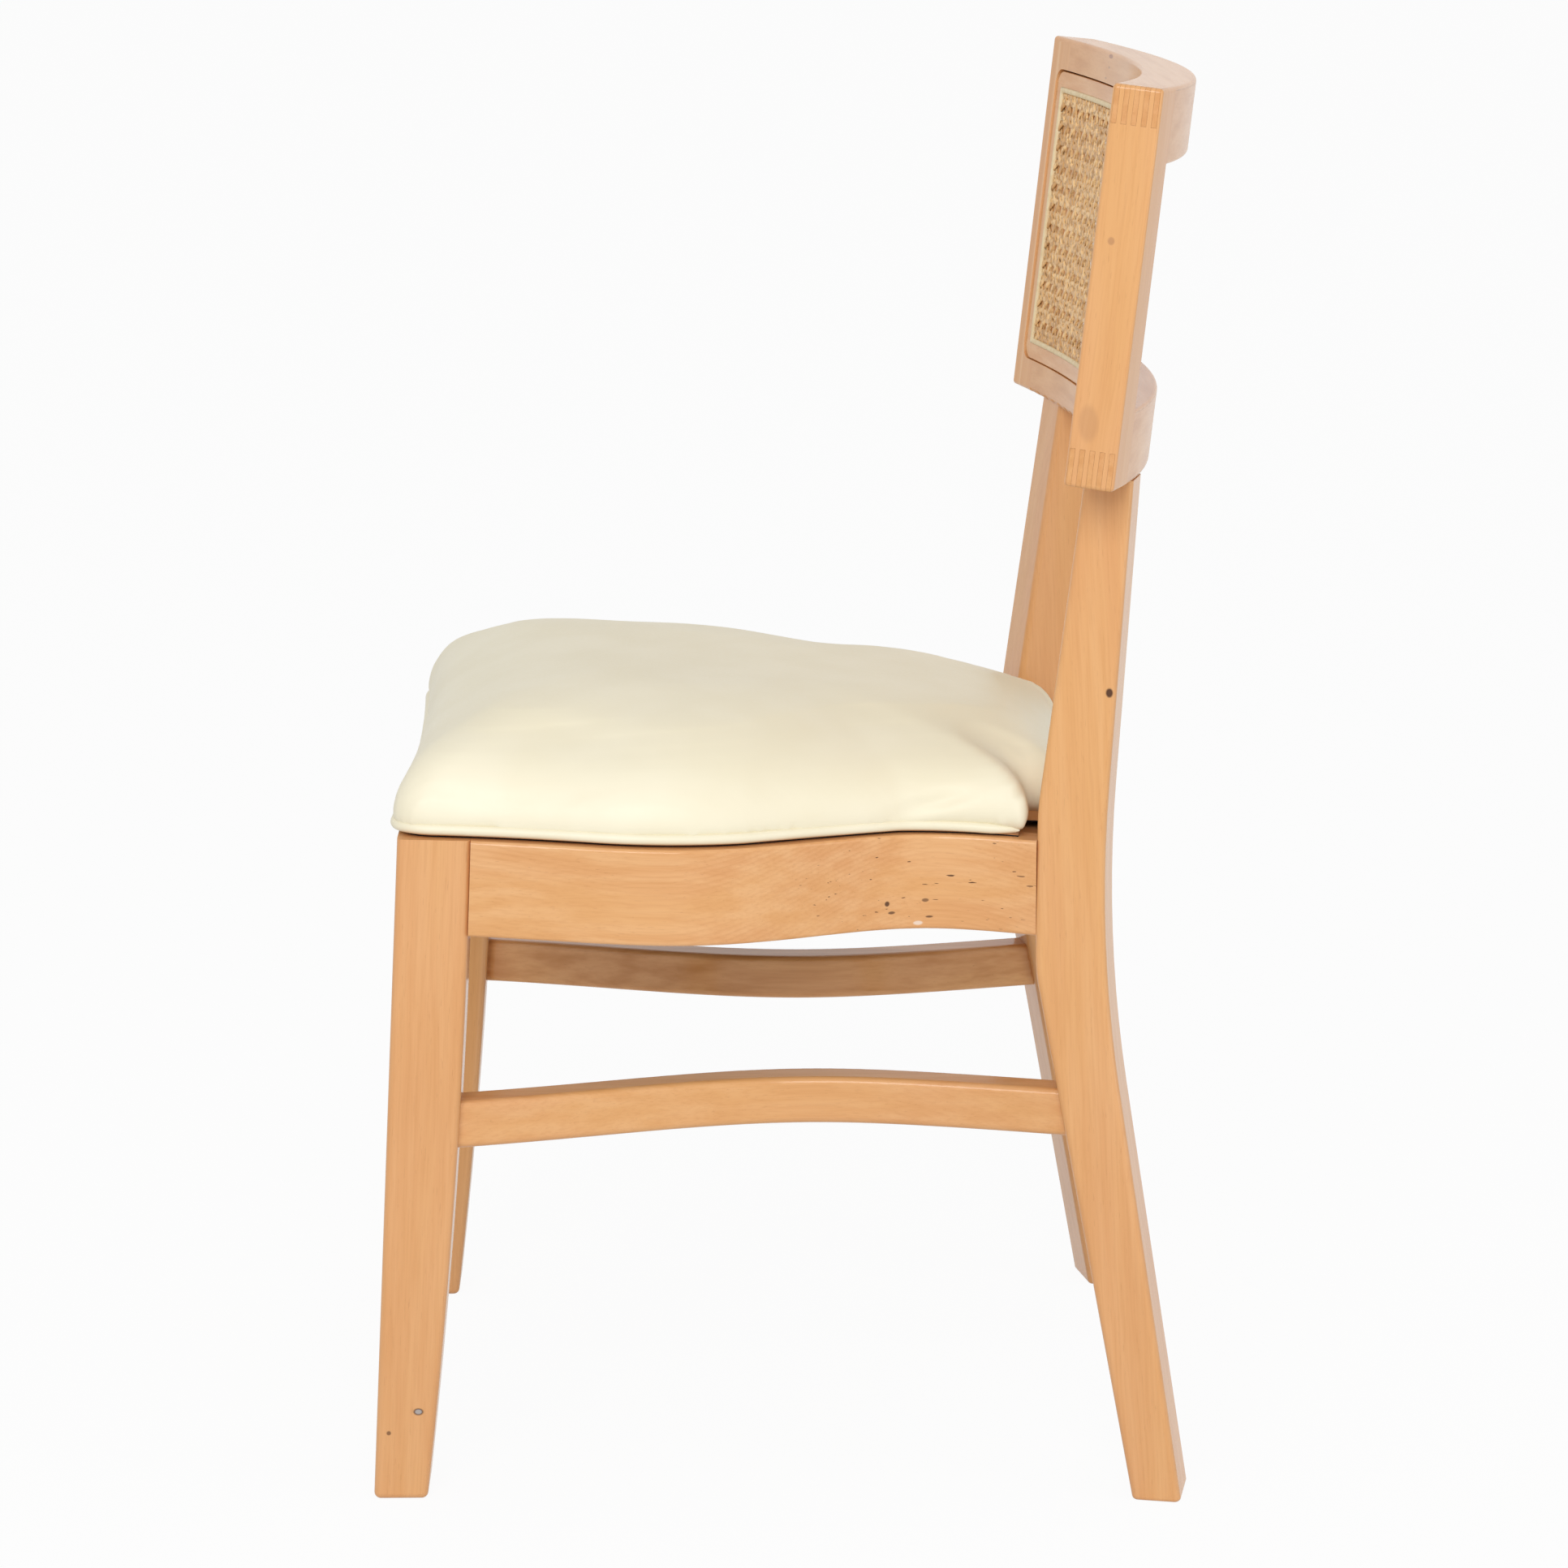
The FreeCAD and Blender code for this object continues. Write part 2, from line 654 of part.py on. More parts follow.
def seat_outline(inset, z, fall=0.0):
    """Plan of the upholstery, following the side rails, drawn in by an inset, on a plane that may fall."""

    def at(half, depth):
        return on_plane(half, depth, z, fall)

    draw = cushion_setback + inset
    radius = cushion_corner_radius + crown_corner_growth * inset
    front = cushion_front_depth + inset
    rear = cushion_rear_depth - inset
    side_start = cushion_front_depth + cushion_corner_radius
    side_end = cushion_rear_depth - cushion_corner_radius
    curve = side_rail_curve()
    wide = half_span_at(curve, side_start)
    narrow = half_span_at(curve, side_end)
    # The sides lose their waves towards the crown
    calm = 1 - inset / crown_calm_inset
    side = []
    for index in range(2 * cushion_side_arcs + 1):
        share = index / (2 * cushion_side_arcs)
        straight = wide + share * (narrow - wide)
        wave = half_span_at(curve, side_start + share * (side_end - side_start)) - straight
        depth = front + radius + share * (rear - front - 2 * radius)
        side.append((straight + calm * wave - draw, depth))
    slant = radius * math.sqrt(0.5)
    first_half, first_depth = side[0]
    last_half, last_depth = side[-1]
    front_end = at(first_half - radius, first_depth - radius)
    front_middle = at(first_half - radius + slant, first_depth - slant)
    front_bow = at(0, first_depth - radius + cushion_front_bow)
    rear_end = at(last_half - radius, last_depth + radius)
    rear_middle = at(last_half - radius + slant, last_depth + slant)
    side = [at(half, depth) for half, depth in side]
    arcs = [(front_end, front_middle, side[0])]
    arcs += [tuple(side[index:index + 3]) for index in range(0, 2 * cushion_side_arcs, 2)]
    arcs.append((side[-1], rear_middle, rear_end))

    def flip(point):
        return Vector(-point.x, point.y, point.z)

    edges = [Part.Arc(flip(front_end), front_bow, front_end).toShape()]
    edges += [Part.Arc(*arc).toShape() for arc in arcs]
    edges.append(Part.LineSegment(rear_end, flip(rear_end)).toShape())
    edges += [Part.Arc(*[flip(point) for point in reversed(arc)]).toShape() for arc in reversed(arcs)]
    return Part.Wire(edges)


def leg_notches(clearance):
    notch = block(notch_half_width - clearance, FAR, notch_depth - clearance, FAR, -FAR, FAR)
    return both_sides(notch)


def crown_steps(drop):
    """Each step of the crown as its draw, its height lowered by a share of a drop, and its fall."""
    steps = []
    for draw, height in cushion_crown:
        share = (height - cushion_lower_edge) / (cushion_crown[-1][1] - cushion_lower_edge)
        steps.append((draw, height - drop * share, crown_fall * share))
    return steps


def swelling_notches(clearance, drop):
    """Room for the rear posts that widens with height, as the seat swells away from them."""
    steps = crown_steps(drop)
    first_draw, first_height, first_fall = steps[0]
    last_draw, last_height, last_fall = steps[-1]
    steps.insert(0, (first_draw, first_height - cushion_notch_overrun, first_fall))
    steps.append((last_draw, last_height + cushion_notch_overrun, last_fall))
    outer = notch_half_width + cushion_notch_span
    rear = notch_depth + cushion_notch_span
    sections = []
    for draw, height, fall in steps:
        reach = clearance + notch_draw * draw
        inner = notch_half_width - reach
        front = notch_depth - reach
        sections.append(rounded_wire([
            (on_plane(inner, front, height, fall), cushion_notch_radius + reach),
            (on_plane(outer, front, height, fall), 0),
            (on_plane(outer, rear, height, fall), 0),
            (on_plane(inner, rear, height, fall), 0),
        ]))
    return both_sides(Part.makeLoft(sections, True, False))


def outline_slab(inset, z_low, z_high):
    return Part.Face(seat_outline(inset, z_low)).extrude(Vector(0, 0, z_high - z_low))


def crowned(inset, drop):
    """The swelling form of the seat, drawn in by an inset and lowered at its top by a drop."""
    sections = [seat_outline(draw + inset, height, fall) for draw, height, fall in crown_steps(drop)]
    return Part.makeLoft(sections, True, False).cut(swelling_notches(inset, drop))


def seat_parts():
    base = dust_cover_thickness
    board_top = base + seat_board_thickness
    board_inset = piping_diameter + soft_clearance
    dust_cover = outline_slab(board_inset, 0, base).cut(leg_notches(board_inset))
    board = outline_slab(board_inset, base, board_top).cut(leg_notches(board_inset))
    outer = crowned(0, 0)
    foam_inset = cover_thickness + soft_clearance
    hollow = crowned(cover_thickness, cover_thickness)
    foam = crowned(foam_inset, foam_inset)
    cover = outer.cut(hollow)
    grown_board = outline_slab(board_inset - soft_clearance, 0, board_top)
    foam = foam.cut(grown_board)
    piping_high = cushion_lower_edge - soft_clearance
    piping_low = piping_high - piping_diameter
    piping = outline_slab(0, piping_low, piping_high)
    piping = piping.cut(outline_slab(piping_diameter, piping_low, piping_high))
    piping = piping.cut(block(-FAR, FAR, notch_depth - piping_end_set, FAR, -FAR, FAR))
    return {
        "dust_cover": dust_cover,
        "seat_board": board,
        "seat_foam": foam,
        "seat_cover": cover,
        "seat_piping": piping,
    }


# Dowels and screws: each is a solid and the hole that takes it

def dowel(start, direction, length, diameter):
    pin = rod(start, direction, length, diameter)
    hole_start = start - direction * joint_clearance
    hole = rod(hole_start, direction, length + 2 * joint_clearance, diameter + 2 * joint_clearance)
    return pin, hole


def screw(tip, direction, length, sink):
    """A screw from its tip back along a direction to its head, with the hole and counterbore."""
    shank = rod(tip, direction, length, screw_diameter)
    head_start = tip + direction * length
    head = rod(head_start, direction, screw_head_height, screw_head_diameter)
    wide = screw_diameter + 2 * screw_clearance
    hole = rod(tip - direction * screw_clearance, direction, length + 2 * screw_clearance, wide)
    bore = rod(head_start, direction, screw_head_height + sink, screw_head_diameter + 2 * screw_clearance)
    return shank.fuse(head), hole.fuse(bore)


def side_rail_dowels():
    """Two dowels at each end of the left side rail, along the run of the rail there."""
    curve = side_rail_curve()
    pairs = []
    for depth in (front_leg_rake + front_leg_top_width, post_depth):
        heading = heading_at(curve, depth)
        for z in (-rail_dowel_drop, rail_dowel_drop - rail_height):
            middle = Vector(half_span_at(curve, depth) - rail_thickness / 2, depth, z)
            pairs.append(dowel(middle - heading * dowel_bite, heading, 2 * dowel_bite, dowel_diameter))
    return pairs


def cross_rail_dowels(inner_half, depth):
    """Two dowels between the left leg and a rail that runs across the chair."""
    pairs = []
    drop = rail_dowel_drop + cross_dowel_inset
    for z in (-drop, drop - rail_height):
        start = Vector(inner_half - dowel_bite, depth + rail_thickness / 2, z)
        pairs.append(dowel(start, ACROSS, 2 * dowel_bite - dowel_diameter, dowel_diameter))
    return pairs


def stretcher_dowels():
    """One dowel at each end of the left stretcher, along its run there."""
    curve = stretcher_curve()
    pairs = []
    for depth in (front_leg_knee_back, lower_post_depth):
        heading = heading_at(curve, depth)
        half_span = half_span_at(curve, depth) - stretcher_thickness / 2
        middle = Vector(half_span, depth - origin_depth, stretcher_middle_height)
        pairs.append(dowel(middle - heading * dowel_bite, heading, 2 * dowel_bite, dowel_diameter))
    return pairs


def post_dowels():
    """Two dowels from the top of the left rear leg up into the lower back rail."""
    middle_setback = (rear_leg_top_front_setback + rear_leg_top_back_setback) / 2
    top_middle = rear_leg_place.multVec(
        Vector(-rear_leg_thickness / 2, -middle_setback, back_bottom_height))
    at_rail = back_place.inverse().multVec(top_middle)
    along = Vector(math.cos(math.radians(rear_leg_turn)), -math.sin(math.radians(rear_leg_turn)), 0)
    # The upper ends stop short of the rebate that the cane panel sits in
    length = post_dowel_bite + rebate_margin_rail - post_dowel_cover
    pairs = []
    for side in (-0.5, 0.5):
        foot = Vector(at_rail.x, at_rail.y, -post_dowel_bite) + along * (side * post_dowel_spacing)
        pairs.append(dowel(foot, UP, length, post_dowel_diameter))
    return pairs


def block_screws():
    """Left side screws through the corner blocks, into the rails and up into the seat board."""
    curve = side_rail_curve()
    half_rail = rail_thickness / 2
    leg_inner = front_leg_span / 2 - front_leg_thickness
    front_face = front_rail_depth + rail_thickness
    middle = -block_drop - block_height / 2
    board_tip = dust_cover_thickness + seat_screw_bite
    rear_end = rear_rail_depth - rear_block_reach_y
    rear_inner = half_span_at(curve, rear_end) - half_rail
    front_tip_x = leg_inner - front_block_reach_x
    rear_tip_x = rear_inner - rear_block_reach_x
    front_y = front_face + front_block_reach_y - side_screw_offset
    rear_y = rear_end + side_screw_offset
    front_side = half_span_at(curve, front_y) - rail_thickness
    rear_side = half_span_at(curve, rear_y) - rail_thickness
    length = block_screw_bite + block_screw_sink
    tips = [
        (Vector(front_tip_x + cross_screw_offset, front_face - block_screw_bite, middle), BACKWARD),
        (Vector(rear_tip_x + cross_screw_offset, rear_rail_depth + block_screw_bite, middle), -BACKWARD),
        (Vector(front_side + block_screw_bite, front_y, middle), -ACROSS),
        (Vector(rear_side + block_screw_bite, rear_y, middle), -ACROSS),
    ]
    into_rails = [screw(tip, direction, length, driver_reach) for tip, direction in tips]
    seat_length = board_tip + block_drop + block_height
    places = [
        (leg_inner - front_seat_screw_x, front_face + front_seat_screw_y),
        (rear_inner - rear_seat_screw_x, rear_rail_depth - rear_seat_screw_y),
    ]
    into_board = [screw(Vector(x, y, board_tip), -UP, seat_length, 0) for x, y in places]
    return into_rails, into_board


def split(pairs, placement=None):
    solids = [pair[0] for pair in pairs]
    holes = [pair[1] for pair in pairs]
    if placement is not None:
        solids = [placed(solid, placement) for solid in solids]
        holes = [placed(hole, placement) for hole in holes]
    return solids, holes


def both(solids):
    return [side for solid in solids for side in both_sides(solid)]


def build():
    front = front_leg()
    rear = rear_leg()
    # Whatever meets a leg is scribed to the leg's flat faces, not to its softened edges
    front_blank = front_leg_blank(scribe_reach)
    rear_blank = placed(rear_leg_blank(scribe_reach), rear_leg_place)
    rail = side_rail(front_blank, rear_blank)
    bar = stretcher(front_blank, rear_blank)
    across_front = front_rail()
    across_rear = rear_rail(both_sides(rear_blank))
    cross_rails = [across_front, across_rear]
    front_block, rear_block = corner_blocks(front_blank, rear_blank, rail, cross_rails)
    crest, lower, stile = [placed(shape, back_place) for shape in back_frame()]
    panel = {name: placed(shape, back_place) for name, shape in cane_panel().items()}
    seat = {name: placed(shape, seat_place) for name, shape in seat_parts().items()}

    leg_inner = front_leg_span / 2 - front_leg_thickness
    rear_inner = across_rear.BoundBox.XMax - cross_dowel_inset / 2
    rail_dowels, rail_holes = split(side_rail_dowels(), seat_place)
    front_dowels, front_holes = split(cross_rail_dowels(leg_inner, front_rail_depth), seat_place)
    rear_dowels, rear_holes = split(cross_rail_dowels(rear_inner, rear_rail_depth), seat_place)
    bar_dowels, bar_holes = split(stretcher_dowels())
    post_pins, post_holes = split(post_dowels(), back_place)
    rail_pairs, board_pairs = block_screws()
    rail_screws, rail_screw_holes = split(rail_pairs, seat_place)
    board_screws, board_screw_holes = split(board_pairs, seat_place)

    front = front.cut(rail_holes + front_holes + bar_holes)
    rear = rear.cut(rail_holes + rear_holes + bar_holes + post_holes)
    rail = rail.cut(rail_holes + rail_screw_holes)
    bar = bar.cut(bar_holes)
    block_holes = rail_screw_holes + board_screw_holes
    front_block = front_block.cut(block_holes)
    rear_block = rear_block.cut(block_holes)
    across_front = across_front.cut(both(front_holes + rail_screw_holes))
    across_rear = across_rear.cut(both(rear_holes + rail_screw_holes))
    lower = lower.cut(both(post_holes))
    seat["seat_board"] = seat["seat_board"].cut(both(board_screw_holes))
    seat["dust_cover"] = seat["dust_cover"].cut(both(board_screw_holes))

    nodes = {
        "front_rail": across_front,
        "rear_rail": across_rear,
        "crest_rail": crest,
        "lower_back_rail": lower,
    }
    paired = {
        "front_leg": front,
        "rear_leg": rear,
        "side_rail": rail,
        "side_stretcher": bar,
        "back_stile": stile,
        "front_corner_block": front_block,
        "rear_corner_block": rear_block,
    }
    for name, shape in paired.items():
        nodes[name + "_left"] = shape
        nodes[name + "_right"] = mirrored(shape)
    grouped = {
        "side_rail_dowels": rail_dowels,
        "front_rail_dowels": front_dowels,
        "rear_rail_dowels": rear_dowels,
        "stretcher_dowels": bar_dowels,
        "post_dowels": post_pins,
        "corner_block_screws": rail_screws,
        "seat_screws": board_screws,
    }
    for name, solids in grouped.items():
        nodes[name] = Part.makeCompound(both(solids))
    nodes.update(panel)
    nodes.update(seat)
    return nodes


def main():
    os.makedirs("parts", exist_ok=True)
    for name, shape in build().items():
        shape.exportStep("parts/" + name + ".step")
        box = shape.BoundBox
        print(name, len(shape.Solids), shape.isValid(), round(shape.Volume),
              [round(v, 1) for v in (box.XMin, box.XMax, box.YMin, box.YMax, box.ZMin, box.ZMax)])


main()
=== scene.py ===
import math
import random

import bmesh
import bpy
import numpy as np
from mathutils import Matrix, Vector
from mathutils.bvhtree import BVHTree


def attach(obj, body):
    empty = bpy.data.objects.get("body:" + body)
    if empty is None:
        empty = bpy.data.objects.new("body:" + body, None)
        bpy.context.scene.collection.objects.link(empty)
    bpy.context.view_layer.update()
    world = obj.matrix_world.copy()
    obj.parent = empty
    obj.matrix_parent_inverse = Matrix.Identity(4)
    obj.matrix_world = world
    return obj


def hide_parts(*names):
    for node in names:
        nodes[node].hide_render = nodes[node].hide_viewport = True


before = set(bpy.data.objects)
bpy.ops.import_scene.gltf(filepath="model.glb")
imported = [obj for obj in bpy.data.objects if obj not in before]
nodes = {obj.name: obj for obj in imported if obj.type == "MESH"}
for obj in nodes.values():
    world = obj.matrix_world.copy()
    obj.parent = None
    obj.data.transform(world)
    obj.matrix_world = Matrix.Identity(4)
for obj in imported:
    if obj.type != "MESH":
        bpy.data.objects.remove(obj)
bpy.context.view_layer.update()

# Cane backed dining chair. Metres, +Z up, the sitter faces -Y, the sitter's left is +X.

# Camera: a side view from the sitter's left, looking a little down
CAMERA_PLACE = Vector((2.9494, -0.0515, 1.0237))
CAMERA_PITCH = math.radians(12.137)
CAMERA_YAW = math.radians(1.023)
SENSOR_WIDTH = 36.0
IMAGE_WIDTH = 1932
FOCAL_PIXELS = 5954

MM = 0.001

# Seat plane: depths run back from the tips of the front toes, in millimetres
ORIGIN_DEPTH = 247.5
SEAT_FRONT_HEIGHT = 404.5
SEAT_FALL = math.radians(1.57)
SEAT_MIDDLE_DEPTH = 215.0
NOTCH_DEPTH = 392.0
NOTCH_HALF_WIDTH = 131.0

# Back: a curved slab that leans back, drawn about the axis of its curve
BACK_LEAN = math.radians(6.3)
BACK_BOTTOM_DEPTH = 403.58
BACK_BOTTOM_HEIGHT = 611.2
BACK_HALF_CHORD = 227.0
BACK_FRONT_RADIUS = 790.0

# Cane panel in the back
PANEL_FACE_SET = 1.0
PANEL_MARGIN_STILE = 13.3
PANEL_LOW = 20.3
PANEL_HIGH = 207.8
CANE_MARGIN = 12.6
CANE_DEPTH = 1.1
SPLINE_OUTER_MARGIN = 10.1
SPLINE_INNER_MARGIN = 13.5
SPLINE_DEPTH = 4.5
SPLINE_RISE = 1.3

# Seat upholstery
BOARD_TOP = 12.8
COVER_GROWTH = 2.3
SKIN_VOXEL = 4.2 * MM
BLOWN_LIMIT = 4.0
BLOWN_CALMING = 110
HEM_TUCK = 3.0
HEM_DROP = 7.0
# The cover is pulled tight to its rear corners, which draws a crease into each side
CORNER_PLACE = (189.0, 390.0, 10.0)
CORNER_REACH = 26.0
CORNER_PULL = 5.0
CREASE_START = (300.0, 10.0)
CREASE_END = (366.0, 27.0)
CREASE_WIDTH = 4.0
CREASE_DEPTH = 2.3
CREASE_SWELL = 1.0
CREASE_SWELL_SHIFT = 1.6
CREASE_FADE_IN = (0.0, 0.35)
CREASE_FADE_OUT = (0.55, 1.0)
CREASE_HALF_SPANS = (130.0, 155.0)
# The foam is held back where it meets the posts
POST_REACH = 25.0
UNDERSIDE_LIMIT = -0.3
SIM_FRAMES = 20
SIM_PRESSURE = 4.0
PIPING_DIAMETER = 6.2
PIPING_MIDDLE = 5.1
PIPING_TAIL = 18.0
PIPING_REACH = 7.0
PIPING_END_SHARE = 0.25
PIPING_SMOOTHING = 6
PIPING_STEP = 2.5
PIPING_SIDES = 14
DUST_SAG = 4.0
DUST_EDGE = 14.0 * MM
DUST_HALF_RUN = 150.0

# Cane strands
CANE_PITCH = 12.7
PAIR_HALF_GAP = 2.1
PAIR_WIDTH = 3.8
DIAGONAL_WIDTH = 3.4
STRAND_THICKNESS = 1.4
PAIR_WAVE = 0.40
DIAGONAL_WAVE = 0.75


# Shader trees

class Tree:
    """The shader nodes of one material, added and linked by short calls."""

    def __init__(self, name):
        self.material = bpy.data.materials.new(name)
        self.material.use_nodes = True
        self.nodes = self.material.node_tree.nodes
        self.links = self.material.node_tree.links
        self.shader = self.nodes["Principled BSDF"]

    def put(self, value, socket):
        if isinstance(value, bpy.types.NodeSocket):
            self.links.new(value, socket)
        else:
            socket.default_value = value

    def add(self, kind, inputs, **settings):
        node = self.nodes.new("ShaderNode" + kind)
        for key, value in settings.items():
            setattr(node, key, value)
        for key, value in inputs.items():
            self.put(value, node.inputs[key])
        return node

    def math(self, operation, *values):
        node = self.add("Math", dict(enumerate(values)), operation=operation)
        return node.outputs[0]

    def span(self, value, low, high, to_low=0.0, to_high=1.0):
        """Maps low..high smoothly to to_low..to_high."""
        inputs = {"Value": value, "From Min": low, "From Max": high, "To Min": to_low, "To Max": to_high}
        return self.add("MapRange", inputs, interpolation_type="SMOOTHSTEP").outputs["Result"]

    def dot(self, vector, direction):
        node = self.add("VectorMath", {0: vector, 1: direction}, operation="DOT_PRODUCT")
        return node.outputs["Value"]

    def vector(self, x, y, z):
        return self.add("CombineXYZ", {"X": x, "Y": y, "Z": z}).outputs[0]

    def noise(self, vector, scale=1.0, detail=2.0):
        inputs = {"Vector": vector, "Scale": scale, "Detail": detail, "Roughness": 0.5}
        return self.add("TexNoise", inputs).outputs["Fac"]

    def mix(self, factor, first, second):
        inputs = {0: factor, 6: first, 7: second}
        return self.add("Mix", inputs, data_type="RGBA").outputs[2]

    def set(self, **values):
        """Sets the shader's own sockets by name, with underscores for spaces."""
        for key, value in values.items():
            self.put(value, self.shader.inputs[key.replace("_", " ")])

    def bump(self, height, strength, distance):
        inputs = {"Height": height, "Strength": strength, "Distance": distance}
        self.links.new(self.add("Bump", inputs).outputs[0], self.shader.inputs["Normal"])


def shown(color):
    """Scene colour with full alpha from a red, green, blue triple."""
    return (*color, 1.0)


def object_place(tree):
    """Places on the piece in millimetres."""
    place = tree.add("TexCoord", {}).outputs["Object"]
    return tree.add("VectorMath", {0: place, "Scale": 1 / MM}, operation="SCALE").outputs[0]


def dress(obj, material):
    obj.data.materials.clear()
    obj.data.materials.append(material)


# Geometry helpers

def seat_to_world(points):
    """World places in metres of points in the seat's own frame, in millimetres."""
    across, depth, rise = np.asarray(points, float).T
    turn, lean = math.cos(SEAT_FALL), math.sin(SEAT_FALL)
    return MM * np.stack([across, depth * turn + rise * lean - ORIGIN_DEPTH,
                          rise * turn - depth * lean + SEAT_FRONT_HEIGHT], axis=1)


def world_to_seat(points):
    across, depth, rise = np.asarray(points, float).T / MM
    depth = depth + ORIGIN_DEPTH
    rise = rise - SEAT_FRONT_HEIGHT
    turn, lean = math.cos(SEAT_FALL), math.sin(SEAT_FALL)
    return np.stack([across, depth * turn - rise * lean, rise * turn + depth * lean], axis=1)


def back_to_world(arc, up, radius):
    """World places in metres of points on the curved back, from the length along its front face, the
    height above its lower edge and the radius about its axis, in millimetres."""
    arc, up, radius = np.broadcast_arrays(*[np.asarray(value, float) for value in (arc, up, radius)])
    angle = arc / BACK_FRONT_RADIUS
    across = radius * np.sin(angle)
    depth = radius * np.cos(angle) - math.sqrt(BACK_FRONT_RADIUS ** 2 - BACK_HALF_CHORD ** 2)
    turn, lean = math.cos(BACK_LEAN), math.sin(BACK_LEAN)
    place = [across, depth * turn + up * lean + BACK_BOTTOM_DEPTH - ORIGIN_DEPTH,
             up * turn - depth * lean + BACK_BOTTOM_HEIGHT]
    return MM * np.stack([axis.ravel() for axis in place], axis=1)


def new_piece(name, points, faces):
    mesh = bpy.data.meshes.new(name)
    mesh.from_pydata(np.asarray(points).tolist(), [], faces)
    return new_object(name, mesh)


def new_object(name, mesh):
    obj = bpy.data.objects.new(name, mesh)
    bpy.context.scene.collection.objects.link(obj)
    return obj


def finish_piece(obj, material, slot, *replaced):
    """Smooth shading, a material, the nodes it stands in for hidden, and the piece hung from the root
    body.
    """
    obj.data.shade_smooth()
    dress(obj, material)
    if replaced:
        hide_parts(*replaced)
    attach(obj, "root")


def coordinates(mesh):
    values = np.empty(len(mesh.vertices) * 3)
    mesh.vertices.foreach_get("co", values)
    return values.reshape(-1, 3)


def vertex_normals(mesh):
    values = np.empty(len(mesh.vertices) * 3)
    mesh.vertex_normals.foreach_get("vector", values)
    return values.reshape(-1, 3)


def move_vertices(mesh, points):
    mesh.vertices.foreach_set("co", np.ascontiguousarray(points).ravel())
    mesh.update()


def apply_modifiers(obj):
    graph = bpy.context.evaluated_depsgraph_get()
    mesh = bpy.data.meshes.new_from_object(obj.evaluated_get(graph))
    obj.modifiers.clear()
    obj.data = mesh


def node_copy(name):
    """A node's mesh as a new mesh in world places, with its split corners joined."""
    node = nodes[name]
    work = bmesh.new()
    work.from_mesh(node.data)
    work.transform(node.matrix_world)
    bmesh.ops.remove_doubles(work, verts=work.verts, dist=0.01 * MM)
    return work


def smooth_step(value, low, high):
    share = np.clip((value - low) / (high - low), 0, 1)
    return share * share * (3 - 2 * share)


# Seat upholstery

def draw_hem_in(work):
    """Draws the cover in under its lower edge, behind the piping."""
    work.normal_update()
    rim = [edge for edge in work.edges if edge.is_boundary]
    outward = {vertex: vertex.normal.copy() for edge in rim for vertex in edge.verts}
    added = bmesh.ops.extrude_edge_only(work, edges=rim)["geom"]
    for vertex in [item for item in added if isinstance(item, bmesh.types.BMVert)]:
        beside = [edge.other_vert(vertex) for edge in vertex.link_edges]
        root = next(other for other in beside if other in outward)
        way = Vector((outward[root].x, outward[root].y, 0)).normalized()
        vertex.co = root.co - way * HEM_TUCK * MM - Vector((0, 0, HEM_DROP * MM))


def foam_skin():
    """The seat's outer form as a new closed mesh, without the room for the board under it."""
    work = node_copy("seat_foam")
    work.normal_update()
    doomed = []
    for face in work.faces:
        place = world_to_seat([face.calc_center_median()])[0]
        outward = face.normal.x * place[0] + face.normal.y * (place[1] - SEAT_MIDDLE_DEPTH)
        if face.normal.z < -0.5 or (place[2] < BOARD_TOP and outward < 0):
            doomed.append(face)
    bmesh.ops.delete(work, geom=doomed, context="FACES")
    draw_hem_in(work)
    open_edges = [edge for edge in work.edges if edge.is_boundary]
    bmesh.ops.holes_fill(work, edges=open_edges)
    bmesh.ops.triangulate(work, faces=work.faces)
    mesh = bpy.data.meshes.new("seat_cushion")
    work.to_mesh(mesh)
    work.free()
    return mesh


def blown_places(cushion, held):
    """Where the skin's vertices go when the foam under it presses outward."""
    group = cushion.vertex_groups.new(name="held")
    group.add([int(index) for index in np.flatnonzero(held)], 1.0, "REPLACE")
    cloth = cushion.modifiers.new("cloth", "CLOTH")
    cloth.settings.vertex_group_mass = group.name
    cloth.settings.use_pressure = True
    cloth.settings.uniform_pressure_force = SIM_PRESSURE
    cloth.settings.effector_weights.gravity = 0.0
    cloth.point_cache.frame_start = 1
    cloth.point_cache.frame_end = SIM_FRAMES
    scene = bpy.context.scene
    for step in range(1, SIM_FRAMES + 1):
        scene.frame_set(step)
    graph = bpy.context.evaluated_depsgraph_get()
    blown = coordinates(cushion.evaluated_get(graph).data)
    scene.frame_set(1)
    cushion.modifiers.clear()
    cushion.vertex_groups.clear()
    return blown


def calmed(mesh, moves, rounds):
    """The same moves of a mesh's vertices, drawn towards those of their neighbours."""
    ends = np.empty(len(mesh.edges) * 2, dtype=np.int32)
    mesh.edges.foreach_get("vertices", ends)
    ends = ends.reshape(-1, 2)
    count = np.bincount(ends.ravel(), minlength=len(moves))[:, None]
    for _ in range(rounds):
        total = np.zeros_like(moves)
        np.add.at(total, ends[:, 0], moves[ends[:, 1]])
        np.add.at(total, ends[:, 1], moves[ends[:, 0]])
        moves = (moves + total / count) / 2
    return moves


